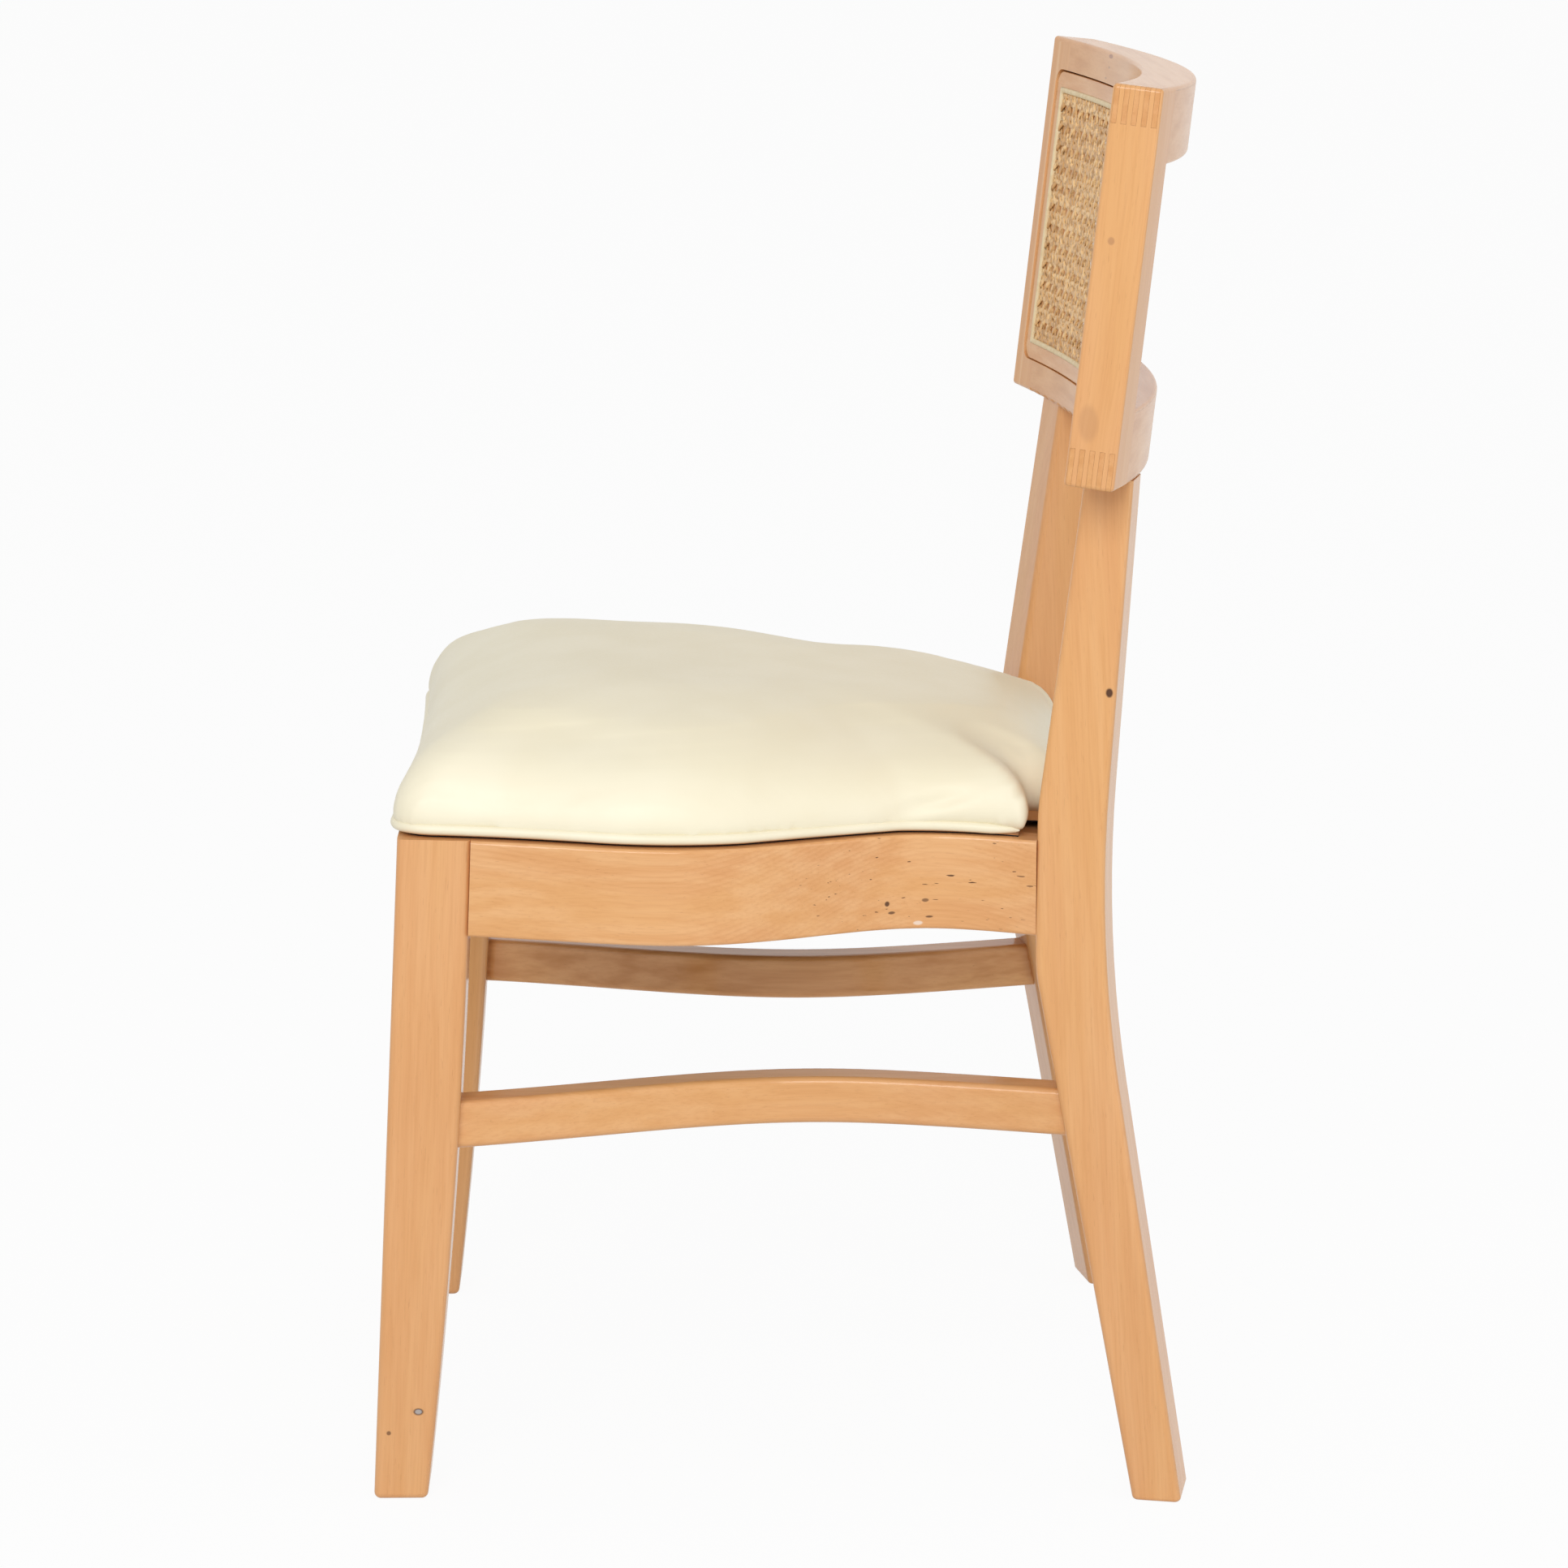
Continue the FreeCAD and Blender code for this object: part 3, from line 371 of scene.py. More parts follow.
def pulled_tight(local, normals):
    """Moves of the cover's points, in the seat's frame, towards its rear corners and into its creases."""
    side = np.sign(local[:, 0])
    corner = np.stack([side * CORNER_PLACE[0], np.full(len(local), CORNER_PLACE[1]),
                       np.full(len(local), CORNER_PLACE[2])], axis=1)
    way = corner - local
    distance = np.linalg.norm(way, axis=1) + 1e-6
    pull = CORNER_PULL * (1 - smooth_step(distance, 0, CORNER_REACH))
    moves = way / distance[:, None] * np.minimum(pull, distance)[:, None]
    run = np.subtract(CREASE_END, CREASE_START)
    length = np.linalg.norm(run)
    offset = local[:, 1:] - np.array(CREASE_START)
    share = offset @ run / length ** 2
    above = (offset[:, 1] * run[0] - offset[:, 0] * run[1]) / length
    fade = smooth_step(share, *CREASE_FADE_IN) * (1 - smooth_step(share, *CREASE_FADE_OUT))
    fade = fade * smooth_step(np.abs(local[:, 0]), *CREASE_HALF_SPANS)
    rise = CREASE_SWELL * np.exp(-(above / CREASE_WIDTH + CREASE_SWELL_SHIFT) ** 2)
    rise = rise - CREASE_DEPTH * np.exp(-(above / CREASE_WIDTH) ** 2)
    return moves + normals * (fade * rise)[:, None]


def make_cushion(material):
    cushion = new_object("seat_cushion", foam_skin())
    skin = cushion.modifiers.new("skin", "REMESH")
    skin.mode = "VOXEL"
    skin.voxel_size = SKIN_VOXEL
    apply_modifiers(cushion)
    start = coordinates(cushion.data)
    normals = vertex_normals(cushion.data)
    local = world_to_seat(start)
    under = normals[:, 2] < UNDERSIDE_LIMIT
    grown = start + normals * (COVER_GROWTH * MM * ~under)[:, None]
    held = under | (local[:, 2] < BOARD_TOP)
    shift = calmed(cushion.data, blown_places(cushion, held) - start, BLOWN_CALMING)
    length = np.linalg.norm(shift, axis=1) + 1e-9
    gap = np.maximum(NOTCH_HALF_WIDTH - np.abs(local[:, 0]), NOTCH_DEPTH - local[:, 1])
    limit = BLOWN_LIMIT * MM * smooth_step(gap, 0.0, POST_REACH)
    grown = grown + shift * np.minimum(1.0, limit / length)[:, None]
    grown = grown + MM * pulled_tight(local, normals)
    move_vertices(cushion.data, grown)
    finer = cushion.modifiers.new("finer", "SUBSURF")
    finer.levels = 1
    apply_modifiers(cushion)
    finish_piece(cushion, material, "vinyl", "seat_cover", "seat_foam")


def longer(path, reach):
    """The path with both its ends run on straight."""
    first = path[0] + (path[0] - path[4]) / np.linalg.norm(path[0] - path[4]) * reach
    last = path[-1] + (path[-1] - path[-5]) / np.linalg.norm(path[-1] - path[-5]) * reach
    return np.concatenate([[first], path, [last]])


def piping_path():
    """Middle of the piping from one rear end round the front to the other, in the seat's frame."""
    work = node_copy("seat_piping")
    places = world_to_seat([vertex.co for vertex in work.verts])
    for vertex, place in zip(work.verts, places):
        vertex.co = place
    tree = BVHTree.FromBMesh(work)
    work.free()
    path = []
    for angle in np.radians(np.arange(-120, 300.1, 0.5)):
        way = Vector((math.cos(angle), -math.sin(angle), 0))
        start = Vector((0, SEAT_MIDDLE_DEPTH, PIPING_MIDDLE))
        inner = tree.ray_cast(start, way)[0]
        outer = tree.ray_cast(start + way * 600, -way)[0]
        if inner is not None and outer is not None and (outer - inner).length < 3 * PIPING_DIAMETER:
            path.append((inner + outer) / 2)
    return np.array(path)


def even_steps(path, step):
    """The same path with its points evenly spaced, and the length along it at each of them."""
    lengths = np.concatenate([[0], np.cumsum(np.linalg.norm(np.diff(path, axis=0), axis=1))])
    places = np.linspace(0, lengths[-1], int(lengths[-1] / step) + 1)
    return np.stack([np.interp(places, lengths, path[:, axis]) for axis in range(3)], axis=1), places


def grid_faces(rows, columns, offset=0, closed=False):
    """Quads between rows of points, each row closed into a ring or left open."""
    faces = []
    for row in range(rows - 1):
        for column in range(columns if closed else columns - 1):
            beside = (column + 1) % columns
            faces.append((offset + row * columns + column, offset + row * columns + beside,
                          offset + (row + 1) * columns + beside, offset + (row + 1) * columns + column))
    return faces


def make_piping(material):
    path, places = even_steps(longer(piping_path(), PIPING_REACH), PIPING_STEP)
    for _ in range(PIPING_SMOOTHING):
        path[1:-1] = (path[:-2] + 2 * path[1:-1] + path[2:]) / 4
    heading = np.gradient(path, axis=0)
    heading /= np.linalg.norm(heading, axis=1)[:, None]
    sideways = np.cross(heading, (0, 0, 1))
    # Each end is pressed flat and bent down a little
    end = np.minimum(places, places[-1] - places)
    swell = PIPING_END_SHARE + (1 - PIPING_END_SHARE) * np.sqrt(np.clip(end / PIPING_TAIL, 0, 1))
    path = path - np.array([0, 0, 1.0]) * (1 - smooth_step(end, 0, 3 * PIPING_TAIL))[:, None]
    rings = []
    for side in range(PIPING_SIDES):
        turn = 2 * math.pi * side / PIPING_SIDES
        reach = PIPING_DIAMETER / 2 * swell[:, None]
        rings.append(path + reach * (math.cos(turn) * sideways + math.sin(turn) * np.array([0, 0, 1.0])))
    points = np.stack(rings, axis=1).reshape(-1, 3)
    faces = grid_faces(len(path), PIPING_SIDES, closed=True)
    last = (len(path) - 1) * PIPING_SIDES
    faces.append(tuple(range(PIPING_SIDES)))
    faces.append(tuple(range(last + PIPING_SIDES - 1, last - 1, -1)))
    piping = new_piece("seat_piping_cord", seat_to_world(points), faces)
    finish_piece(piping, material, "vinyl", "seat_piping")


def make_dust_cover(material):
    """Thin cloth under the seat that hangs a little between the rails."""
    work = node_copy("dust_cover")
    bmesh.ops.triangulate(work, faces=work.faces)
    for _ in range(7):
        long_edges = [edge for edge in work.edges if edge.calc_length() > DUST_EDGE]
        if long_edges:
            bmesh.ops.subdivide_edges(work, edges=long_edges, cuts=1)
            bmesh.ops.triangulate(work, faces=work.faces, quad_method="BEAUTY", ngon_method="BEAUTY")
    mesh = bpy.data.meshes.new("dust_cloth")
    work.to_mesh(mesh)
    work.free()
    local = world_to_seat(coordinates(mesh))
    across = np.clip(1 - (local[:, 0] / DUST_HALF_RUN) ** 2, 0, 1)
    along = np.clip(1 - ((local[:, 1] - SEAT_MIDDLE_DEPTH) / DUST_HALF_RUN) ** 2, 0, 1)
    local[:, 2] -= DUST_SAG * across * along
    move_vertices(mesh, seat_to_world(local))
    cover = new_object("dust_cloth", mesh)
    finish_piece(cover, material, "dust_cloth", "dust_cover")


# Cane panel

panel_half_arc = (math.asin(BACK_HALF_CHORD / BACK_FRONT_RADIUS) * BACK_FRONT_RADIUS) - PANEL_MARGIN_STILE
cane_half_arc = panel_half_arc - CANE_MARGIN
cane_low = PANEL_LOW + CANE_MARGIN
cane_high = PANEL_HIGH - CANE_MARGIN
cane_middle = (PANEL_LOW + PANEL_HIGH) / 2
cane_radius = BACK_FRONT_RADIUS + PANEL_FACE_SET + CANE_DEPTH
CANE_STEP = CANE_PITCH / 5
# Cross section of a strand, in shares of its width and its thickness
STRAND_PROFILE = np.array([(-0.5, -0.35), (-0.48, 0.2), (-0.28, 0.46), (0.0, 0.5), (0.28, 0.46),
                           (0.48, 0.2), (0.5, -0.35), (0.25, -0.5), (-0.25, -0.5)])


class Weave:
    """Cane strands gathered into one mesh, each a thin curved ribbon with a tone of its own."""

    def __init__(self):
        self.strands = []
        self.chance = random.Random(7)

    def add(self, start, end, width, height):
        """A strand between two (arc, up) places, height(arc, up) above the middle of the sheet."""
        length = math.dist(start, end)
        if length < CANE_STEP:
            return
        share = np.linspace(0, 1, int(length / CANE_STEP) + 2)
        arc = start[0] + share * (end[0] - start[0])
        up = start[1] + share * (end[1] - start[1])
        side = np.array([start[1] - end[1], end[0] - start[0]]) / length
        # No two strands are quite alike in width, line or height
        wide = width * self.chance.uniform(0.78, 1.10)
        drift = self.chance.uniform(-0.35, 0.35)
        wander = drift + 0.30 * np.sin(share * length / 23 + self.chance.uniform(0, 6))
        rise = height(arc, up) * self.chance.uniform(0.7, 1.2) + self.chance.uniform(-0.12, 0.12)
        reach = wander[:, None] + STRAND_PROFILE[:, 0] * wide
        lift = rise[:, None] + STRAND_PROFILE[:, 1] * STRAND_THICKNESS
        tone = self.chance.random()
        self.strands.append((arc[:, None] + side[0] * reach, up[:, None] + side[1] * reach, lift, tone))

    def build(self, name):
        columns = len(STRAND_PROFILE)
        places = []
        faces = []
        tones = []
        lifts = []
        first = 0
        for arc, up, lift, tone in self.strands:
            last = first + lift.size - columns
            places.append(back_to_world(arc, up, cane_radius - lift))
            faces += grid_faces(len(lift), columns, first, closed=True)
            faces.append(tuple(range(first + columns - 1, first - 1, -1)))
            faces.append(tuple(range(last, last + columns)))
            tones.append(np.full(lift.size, tone))
            lifts.append(lift.ravel())
            first += lift.size
        piece = new_piece(name, np.concatenate(places), faces)
        for label, values in (("tone", tones), ("lift", lifts)):
            attribute = piece.data.attributes.new(label, "FLOAT", "POINT")
            attribute.data.foreach_set("value", np.concatenate(values))
        return piece


def strand_lines(half_range):
    count = int(half_range / CANE_PITCH) + 1
    lines = [index * CANE_PITCH for index in range(-count, count + 1)]
    return [line for line in lines if abs(line) < half_range]


def make_cane(material):
    weave = Weave()
    turn = 2 * math.pi / CANE_PITCH
    half_height = (cane_high - cane_low) / 2
    for line in strand_lines(cane_half_arc - PAIR_HALF_GAP):
        for member in (-1, 1):
            arc = line + member * PAIR_HALF_GAP
            weave.add((arc, cane_low), (arc, cane_high), PAIR_WIDTH,
                      lambda a, u, m=member: -m * PAIR_WAVE * np.sin(turn * (u - cane_middle)))
    for line in strand_lines(half_height - PAIR_HALF_GAP):
        for member in (-1, 1):
            up = cane_middle + line + member * PAIR_HALF_GAP
            weave.add((-cane_half_arc, up), (cane_half_arc, up), PAIR_WIDTH,
                      lambda a, u, m=member: m * PAIR_WAVE * np.sin(turn * a))
    reach = cane_half_arc + half_height
    for index in range(-int(reach / CANE_PITCH) - 1, int(reach / CANE_PITCH) + 1):
        line = (index + 0.5) * CANE_PITCH
        for way in (-1, 1):
            # The strand runs where arc - way * (up - middle) = line
            low = max(-cane_half_arc, line - half_height)
            high = min(cane_half_arc, line + half_height)
            if low < high:
                start = (low, cane_middle + way * (low - line))
                end = (high, cane_middle + way * (high - line))
                weave.add(start, end, DIAGONAL_WIDTH,
                          lambda a, u, w=way: w * DIAGONAL_WAVE * np.cos(turn * a))
    cane = weave.build("cane_weave")
    finish_piece(cane, material, "cane", "cane_webbing")


SPLINE_SIDES = 10
SPLINE_RUNS = 60


def make_spline(material):
    """Half round reed pressed into its groove, mitred at the corners."""
    middle = (SPLINE_OUTER_MARGIN + SPLINE_INNER_MARGIN) / 2
    half = (SPLINE_INNER_MARGIN - SPLINE_OUTER_MARGIN) / 2
    profile = [(SPLINE_OUTER_MARGIN, -SPLINE_DEPTH)]
    for step in range(SPLINE_SIDES + 1):
        turn = math.pi * step / SPLINE_SIDES
        profile.append((middle - half * math.cos(turn), SPLINE_RISE * math.sin(turn)))
    profile.append((SPLINE_INNER_MARGIN, -SPLINE_DEPTH))
    face = BACK_FRONT_RADIUS + PANEL_FACE_SET
    share = np.linspace(-1, 1, SPLINE_RUNS + 1)
    places = []
    for margin, rise in profile:
        wide = panel_half_arc - margin
        low = PANEL_LOW + margin
        high = PANEL_HIGH - margin
        tall = (high - low) / 2
        arc = np.concatenate([share[:-1] * wide, np.full(SPLINE_RUNS, wide), -share[:-1] * wide,
                              np.full(SPLINE_RUNS, -wide)])
        up = np.concatenate([np.full(SPLINE_RUNS, low), cane_middle + share[:-1] * tall,
                             np.full(SPLINE_RUNS, high), cane_middle - share[:-1] * tall])
        places.append(back_to_world(arc, up, face - rise))
    faces = grid_faces(len(profile), 4 * SPLINE_RUNS, closed=True)
    spline = new_piece("cane_reed", np.concatenate(places), faces)
    finish_piece(spline, material, "reed", "cane_spline")


# Wood: clear lacquered hardwood

WOOD_LIGHT = (0.735, 0.385, 0.150)
WOOD_ROSE = (0.715, 0.360, 0.150)
WOOD_DEEP = (0.56, 0.245, 0.078)
WOOD_PALE = (0.80, 0.475, 0.235)
WOOD_PORE = (0.36, 0.150, 0.050)
KNOT_AND_SHADE = (0.060, 0.016, 0.004)
FAINT_KNOT = (0.40, 0.19, 0.09)
CREST_KNOT = (0.30, 0.09, 0.025)
FILLER = (0.42, 0.38, 0.36)
GLUE = (0.86, 0.80, 0.72)

# Marks seen on single pieces: place and radii in millimetres, colour and strength. Most are knots, filler
# and glue; the seat board's dark patches are painted shade and the far stile's pale band is a painted
# highlight
DEEP_MARK = 25.0
WOOD_MARKS = {
    "rear_leg_left": [((186, 187.7, 482.9), (DEEP_MARK, 2.6, 3.4), KNOT_AND_SHADE, 0.95)],
    "back_stile_left": [((230, 181.2, 750.6), (DEEP_MARK, 2.4, 2.8), FAINT_KNOT, 0.55),
                        ((230, 169.7, 647.2), (DEEP_MARK, 7.0, 13.0), FAINT_KNOT, 0.30)],
    "crest_rail": [((-99.6, 208.2, 833.0), (7.0, DEEP_MARK, 1.7), CREST_KNOT, 0.8),
                   ((-101.1, 206.9, 826.0), (3.0, DEEP_MARK, 0.9), FAINT_KNOT, 0.7),
                   ((-107.0, 206.9, 819.0), (3.5, DEEP_MARK, 0.9), FAINT_KNOT, 0.7)],
    # Painted highlight: a thin pale band down the far stile's rebate wall beside the panel
    "back_stile_right": [((-214.5, 215.0, 726.0), (3.0, 200.0, 200.0), WOOD_PALE, 0.8)],
    # Painted shade: dark patches on the board by the rear posts, where the gap under the cushion lies in
    # shadow
    "seat_board": [((185, 150, 402), (40, 30, 16), KNOT_AND_SHADE, 0.95),
                   ((-185, 150, 402), (40, 30, 16), KNOT_AND_SHADE, 0.95)],
    "front_leg_left": [((217, -220.0, 55.2), (DEEP_MARK, 3.7, 2.7), KNOT_AND_SHADE, 0.95),
                       ((217, -220.0, 55.2), (DEEP_MARK, 2.6, 1.9), FILLER, 0.95),
                       ((217, -237.8, 41.9), (DEEP_MARK, 1.7, 1.7), KNOT_AND_SHADE, 0.7)],
    "side_rail_left": [((173.3, 81.6, 356.1), (DEEP_MARK, 2.6, 1.4), KNOT_AND_SHADE, 0.7),
                       ((178.9, 58.8, 355.1), (DEEP_MARK, 1.8, 2.0), KNOT_AND_SHADE, 0.9),
                       ((178.0, 61.5, 349.5), (DEEP_MARK, 2.6, 1.1), KNOT_AND_SHADE, 0.8),
                       ((173.9, 84.0, 346.0), (DEEP_MARK, 2.8, 0.8), KNOT_AND_SHADE, 0.8),
                       ((173.9, 77.3, 342.4), (DEEP_MARK, 3.5, 1.6), GLUE, 0.6)],
}
# Short dark flecks gather round one place on the left rail
FLECK_PLACE = (180.0, 78.0, 368.0)
FLECK_REACH = (90.0, 95.0, 45.0)
# Slow waves of the fibres, in cycles per millimetre, and how far apart along the tree two pieces were cut
WAVE_ALONG = 0.005
WAVE_ACROSS = 0.014
SEED_STEP = 313.0


def nearness(tree, place, middle, reach, soft):
    """1 inside an ellipsoid with its radii in millimetres, fading to 0 at its surface."""
    offset = tree.add("VectorMath", {0: place, 1: middle}, operation="SUBTRACT").outputs[0]
    shares = tuple(1 / radius for radius in reach)
    scaled = tree.add("VectorMath", {0: offset, 1: shares}, operation="MULTIPLY").outputs[0]
    length = tree.add("VectorMath", {0: scaled}, operation="LENGTH").outputs["Value"]
    return tree.span(length, 1.0, 1.0 - soft)


class Board:
    """Directions and slow waves of one piece's fibres, in its shader tree."""

    def __init__(self, tree, grain, seed, waves):
        self.tree = tree
        self.along_way = Vector(grain).normalized()
        show_way = Vector((1, 0, 0)) if abs(self.along_way.x) < 0.6 else Vector((0, 1, 0))
        self.side_way = self.along_way.cross(show_way).normalized()
        self.face_way = self.side_way.cross(self.along_way)
        self.place = object_place(tree)
        self.along = tree.math("ADD", tree.dot(self.place, self.along_way), seed * SEED_STEP)
        side = tree.dot(self.place, self.side_way)
        face = tree.dot(self.place, self.face_way)
        slow = tree.vector(tree.math("MULTIPLY", self.along, WAVE_ALONG),
                           tree.math("MULTIPLY", side, WAVE_ACROSS),
                           tree.math("MULTIPLY", face, WAVE_ACROSS))
        wave = tree.math("MULTIPLY", tree.math("SUBTRACT", tree.noise(slow, detail=1.0), 0.5), waves)
        self.side = tree.math("ADD", side, wave)
        self.face = tree.math("ADD", face, tree.math("MULTIPLY", wave, 0.8))

    def streaks(self, along_scale, across_scale, detail):
        """Noise drawn out along the grain, with its scales in cycles per millimetre."""
        tree = self.tree
        stretched = tree.vector(tree.math("MULTIPLY", self.along, along_scale),
                                tree.math("MULTIPLY", self.side, across_scale),
                                tree.math("MULTIPLY", self.face, across_scale))
        return tree.noise(stretched, detail=detail)

    def rings(self, heart, per_millimetre):
        """Dark late wood of the growth rings round the heart of the tree, whose distance is given across
        the show face and behind it in millimetres."""
        tree = self.tree
        side = tree.math("ADD", self.side, heart[0])
        face = tree.math("ADD", self.face, heart[1])
        squares = tree.math("ADD", tree.math("POWER", side, 2.0), tree.math("POWER", face, 2.0))
        ring = tree.math("FRACT", tree.math("MULTIPLY", tree.math("SQRT", squares), per_millimetre))
        return tree.math("MULTIPLY", tree.span(ring, 0.30, 0.90), tree.span(ring, 1.0, 0.90))


def wood(name, grain, seed, heart=(80.0, 45.0), pale=0.0, deep=0.0, waves=7.0, ring_strength=0.08,
         marks=(), flecked=False):
    """Clear lacquered hardwood with its grain along one direction."""
    tree = Tree("wood_" + name)
    board = Board(tree, grain, seed, waves)
    rings = board.rings(heart, 0.40)
    tone = board.streaks(0.004, 0.030, 2.0)
    band = board.streaks(0.008, 0.13, 2.0)
    fibre = board.streaks(0.030, 0.9, 3.0)
    pores = tree.span(board.streaks(0.10, 1.5, 1.0), 0.68, 0.76)

    def tinted(color, amount, strength, second):
        return tree.mix(tree.math("MULTIPLY", amount, strength), color, shown(second))

    color = tree.mix(tree.span(tone, 0.30, 0.70), shown(WOOD_LIGHT), shown(WOOD_ROSE))
    color = tinted(color, tree.span(band, 0.68, 0.25), pale + 0.15, WOOD_PALE)
    color = tinted(color, tree.span(band, 0.35, 0.80), deep + 0.15, WOOD_DEEP)
    late_wood = tree.math("MULTIPLY", rings, tree.span(tone, 0.25, 0.65))
    color = tinted(color, late_wood, ring_strength, WOOD_DEEP)
    color = tinted(color, tree.span(fibre, 0.42, 0.72), 0.20, WOOD_DEEP)
    color = tinted(color, pores, 0.22, WOOD_PORE)
    if flecked:
        fleck = tree.span(board.streaks(0.085, 0.55, 1.0), 0.715, 0.76)
        near = nearness(tree, board.place, FLECK_PLACE, FLECK_REACH, 0.5)
        color = tinted(color, tree.math("MULTIPLY", fleck, near), 0.9, KNOT_AND_SHADE)
    for middle, reach, mark_color, strength in marks:
        color = tinted(color, nearness(tree, board.place, middle, reach, 0.45), strength, mark_color)

    # Cut ends are a little darker
    normal = tree.add("NewGeometry", {}).outputs["Normal"]
    facing = tree.math("ABSOLUTE", tree.dot(normal, board.along_way))
    color = tinted(color, tree.span(facing, 0.72, 0.93), 0.16, WOOD_DEEP)

    tree.set(Base_Color=color, Roughness=tree.span(band, 0.2, 0.8, 0.50, 0.62), Coat_Weight=0.70,
             Coat_Roughness=0.16, Specular_IOR_Level=0.05)
    height = tree.math("SUBTRACT", tree.math("MULTIPLY", fibre, 0.4), pores)
    tree.bump(height, 0.10, 0.12 * MM)
    return tree.material


UPRIGHT_BACK = (0, 0.11, 1)
ACROSS = (1, 0, 0)
FLAT_SAWN = {"heart": (6.0, 110.0), "ring_strength": 0.20, "waves": 12.0, "pale": 0.35}
PANEL = {"pale": 0.55}
WOODS = {
    "front_leg_left": ((0, 0.05, 1), {"pale": 0.10}), "front_leg_right": ((0, 0.05, 1), {}),
    "rear_leg_left": ((-0.08, -0.05, 1), {"pale": 0.10}), "rear_leg_right": ((0.08, -0.05, 1), {}),
    "side_rail_left": ((0, 1, -0.03), {**FLAT_SAWN, "flecked": True}),
    "side_rail_right": ((0, 1, -0.03), FLAT_SAWN),
    "side_stretcher_left": ((0, 1, 0), {"pale": 0.20}),
    # Painted shade: the far stretcher gets a deeper colour for the shadow of the seat over it
    "side_stretcher_right": ((0, 1, 0), {"deep": 0.8}),
    "front_rail": (ACROSS, {}), "rear_rail": (ACROSS, {}),
    "crest_rail": (ACROSS, {"deep": 0.4}), "lower_back_rail": (ACROSS, {"deep": 0.4}),
    "back_stile_left": (UPRIGHT_BACK, {}), "back_stile_right": (UPRIGHT_BACK, {}),
    "cane_frame_top": (ACROSS, PANEL), "cane_frame_bottom": (ACROSS, PANEL),
    "cane_frame_left": (UPRIGHT_BACK, PANEL), "cane_frame_right": (UPRIGHT_BACK, PANEL),
    "front_corner_block_left": ((1, -1, 0), {}), "front_corner_block_right": ((-1, -1, 0), {}),
    "rear_corner_block_left": ((1, 1, 0), {}), "rear_corner_block_right": ((-1, 1, 0), {}),
    "seat_board": (ACROSS, {"pale": 0.3}),
}


# Rounded edge of the crest
BACK_HEIGHT = 229.0
EDGE_RADIUS = 2.5
EDGE_PROUD = 0.05
EDGE_TURNS = np.radians(np.linspace(-12, 102, 13))
EDGE_RUNS = 160


def make_crest_edge(material):
    """The crest's rounded front edge at its top, as one even curve that is closed inside the wood."""
    half_arc = math.asin(BACK_HALF_CHORD / BACK_FRONT_RADIUS) * BACK_FRONT_RADIUS - EDGE_RADIUS
    arc = np.linspace(half_arc, -half_arc, EDGE_RUNS + 1)[:, None]
    reach = EDGE_RADIUS + EDGE_PROUD
    radius = BACK_FRONT_RADIUS + EDGE_RADIUS - np.append(reach * np.cos(EDGE_TURNS), 0.0)
    up = BACK_HEIGHT - EDGE_RADIUS + np.append(reach * np.sin(EDGE_TURNS), 0.0)
    columns = len(radius)
    last = EDGE_RUNS * columns
    faces = grid_faces(EDGE_RUNS + 1, columns, closed=True)
    faces.append(tuple(range(columns - 1, -1, -1)))
    faces.append(tuple(range(last, last + columns)))
    piece = new_piece("crest_front_edge", back_to_world(arc, up[None, :], radius[None, :]), faces)
    finish_piece(piece, material, "frame_wood")
    # Only the round itself is shaded smooth
    hidden_columns = (0, columns - 2, columns - 1)
    for edge in piece.data.edges:
        first, second = edge.vertices
        lengthwise = first % columns == second % columns
        at_end = max(first, second) < columns or min(first, second) >= last
        edge.use_edge_sharp = at_end or (lengthwise and first % columns in hidden_columns)


def dress_wood():
    for index, (name, (grain, looks)) in enumerate(WOODS.items()):
        marks = WOOD_MARKS.get(name, ())
        dress(nodes[name], wood(name, grain, index + 1, marks=marks, **looks))
    make_crest_edge(nodes["crest_rail"].data.materials[0])


# Other materials

VINYL_LIGHT = (0.86, 0.80, 0.62)
VINYL_SHADE = (0.83, 0.765, 0.575)
CANE_TAN = (0.62, 0.335, 0.120)
CANE_STRAW = (0.94, 0.62, 0.290)
CANE_BLOT = (0.34, 0.165, 0.055)
CANE_PAINTED_SHADE = (0.085, 0.032, 0.010)
REED_LIGHT = (0.80, 0.66, 0.42)
REED_SHADE = (0.74, 0.58, 0.34)
CLOTH_DARK = (0.012, 0.012, 0.013)
CLOTH_LIGHT = (0.03, 0.03, 0.031)
CLOTH_THREADS = 5.0
STEEL_DARK = (0.50, 0.50, 0.52)
STEEL_LIGHT = (0.62, 0.61, 0.58)
DOWEL_LIGHT = (0.66, 0.47, 0.28)
DOWEL_SHADE = (0.52, 0.34, 0.17)


def vinyl():
    """Soft cream vinyl with a fine pebbled grain."""
    tree = Tree("vinyl")
    place = object_place(tree)
    blotch = tree.noise(place, 0.015, 2.0)
    color = tree.mix(tree.span(blotch, 0.3, 0.7), shown(VINYL_LIGHT), shown(VINYL_SHADE))
    grain = tree.add("TexVoronoi", {"Vector": place, "Scale": 1.1}).outputs["Distance"]
    mottle = tree.noise(place, 0.5, 3.0)
    tree.set(Base_Color=color, Roughness=tree.span(mottle, 0.3, 0.7, 0.40, 0.50), Specular_IOR_Level=0.4)
    tree.bump(tree.math("ADD", grain, mottle), 0.10, 0.10 * MM)
    return tree.material


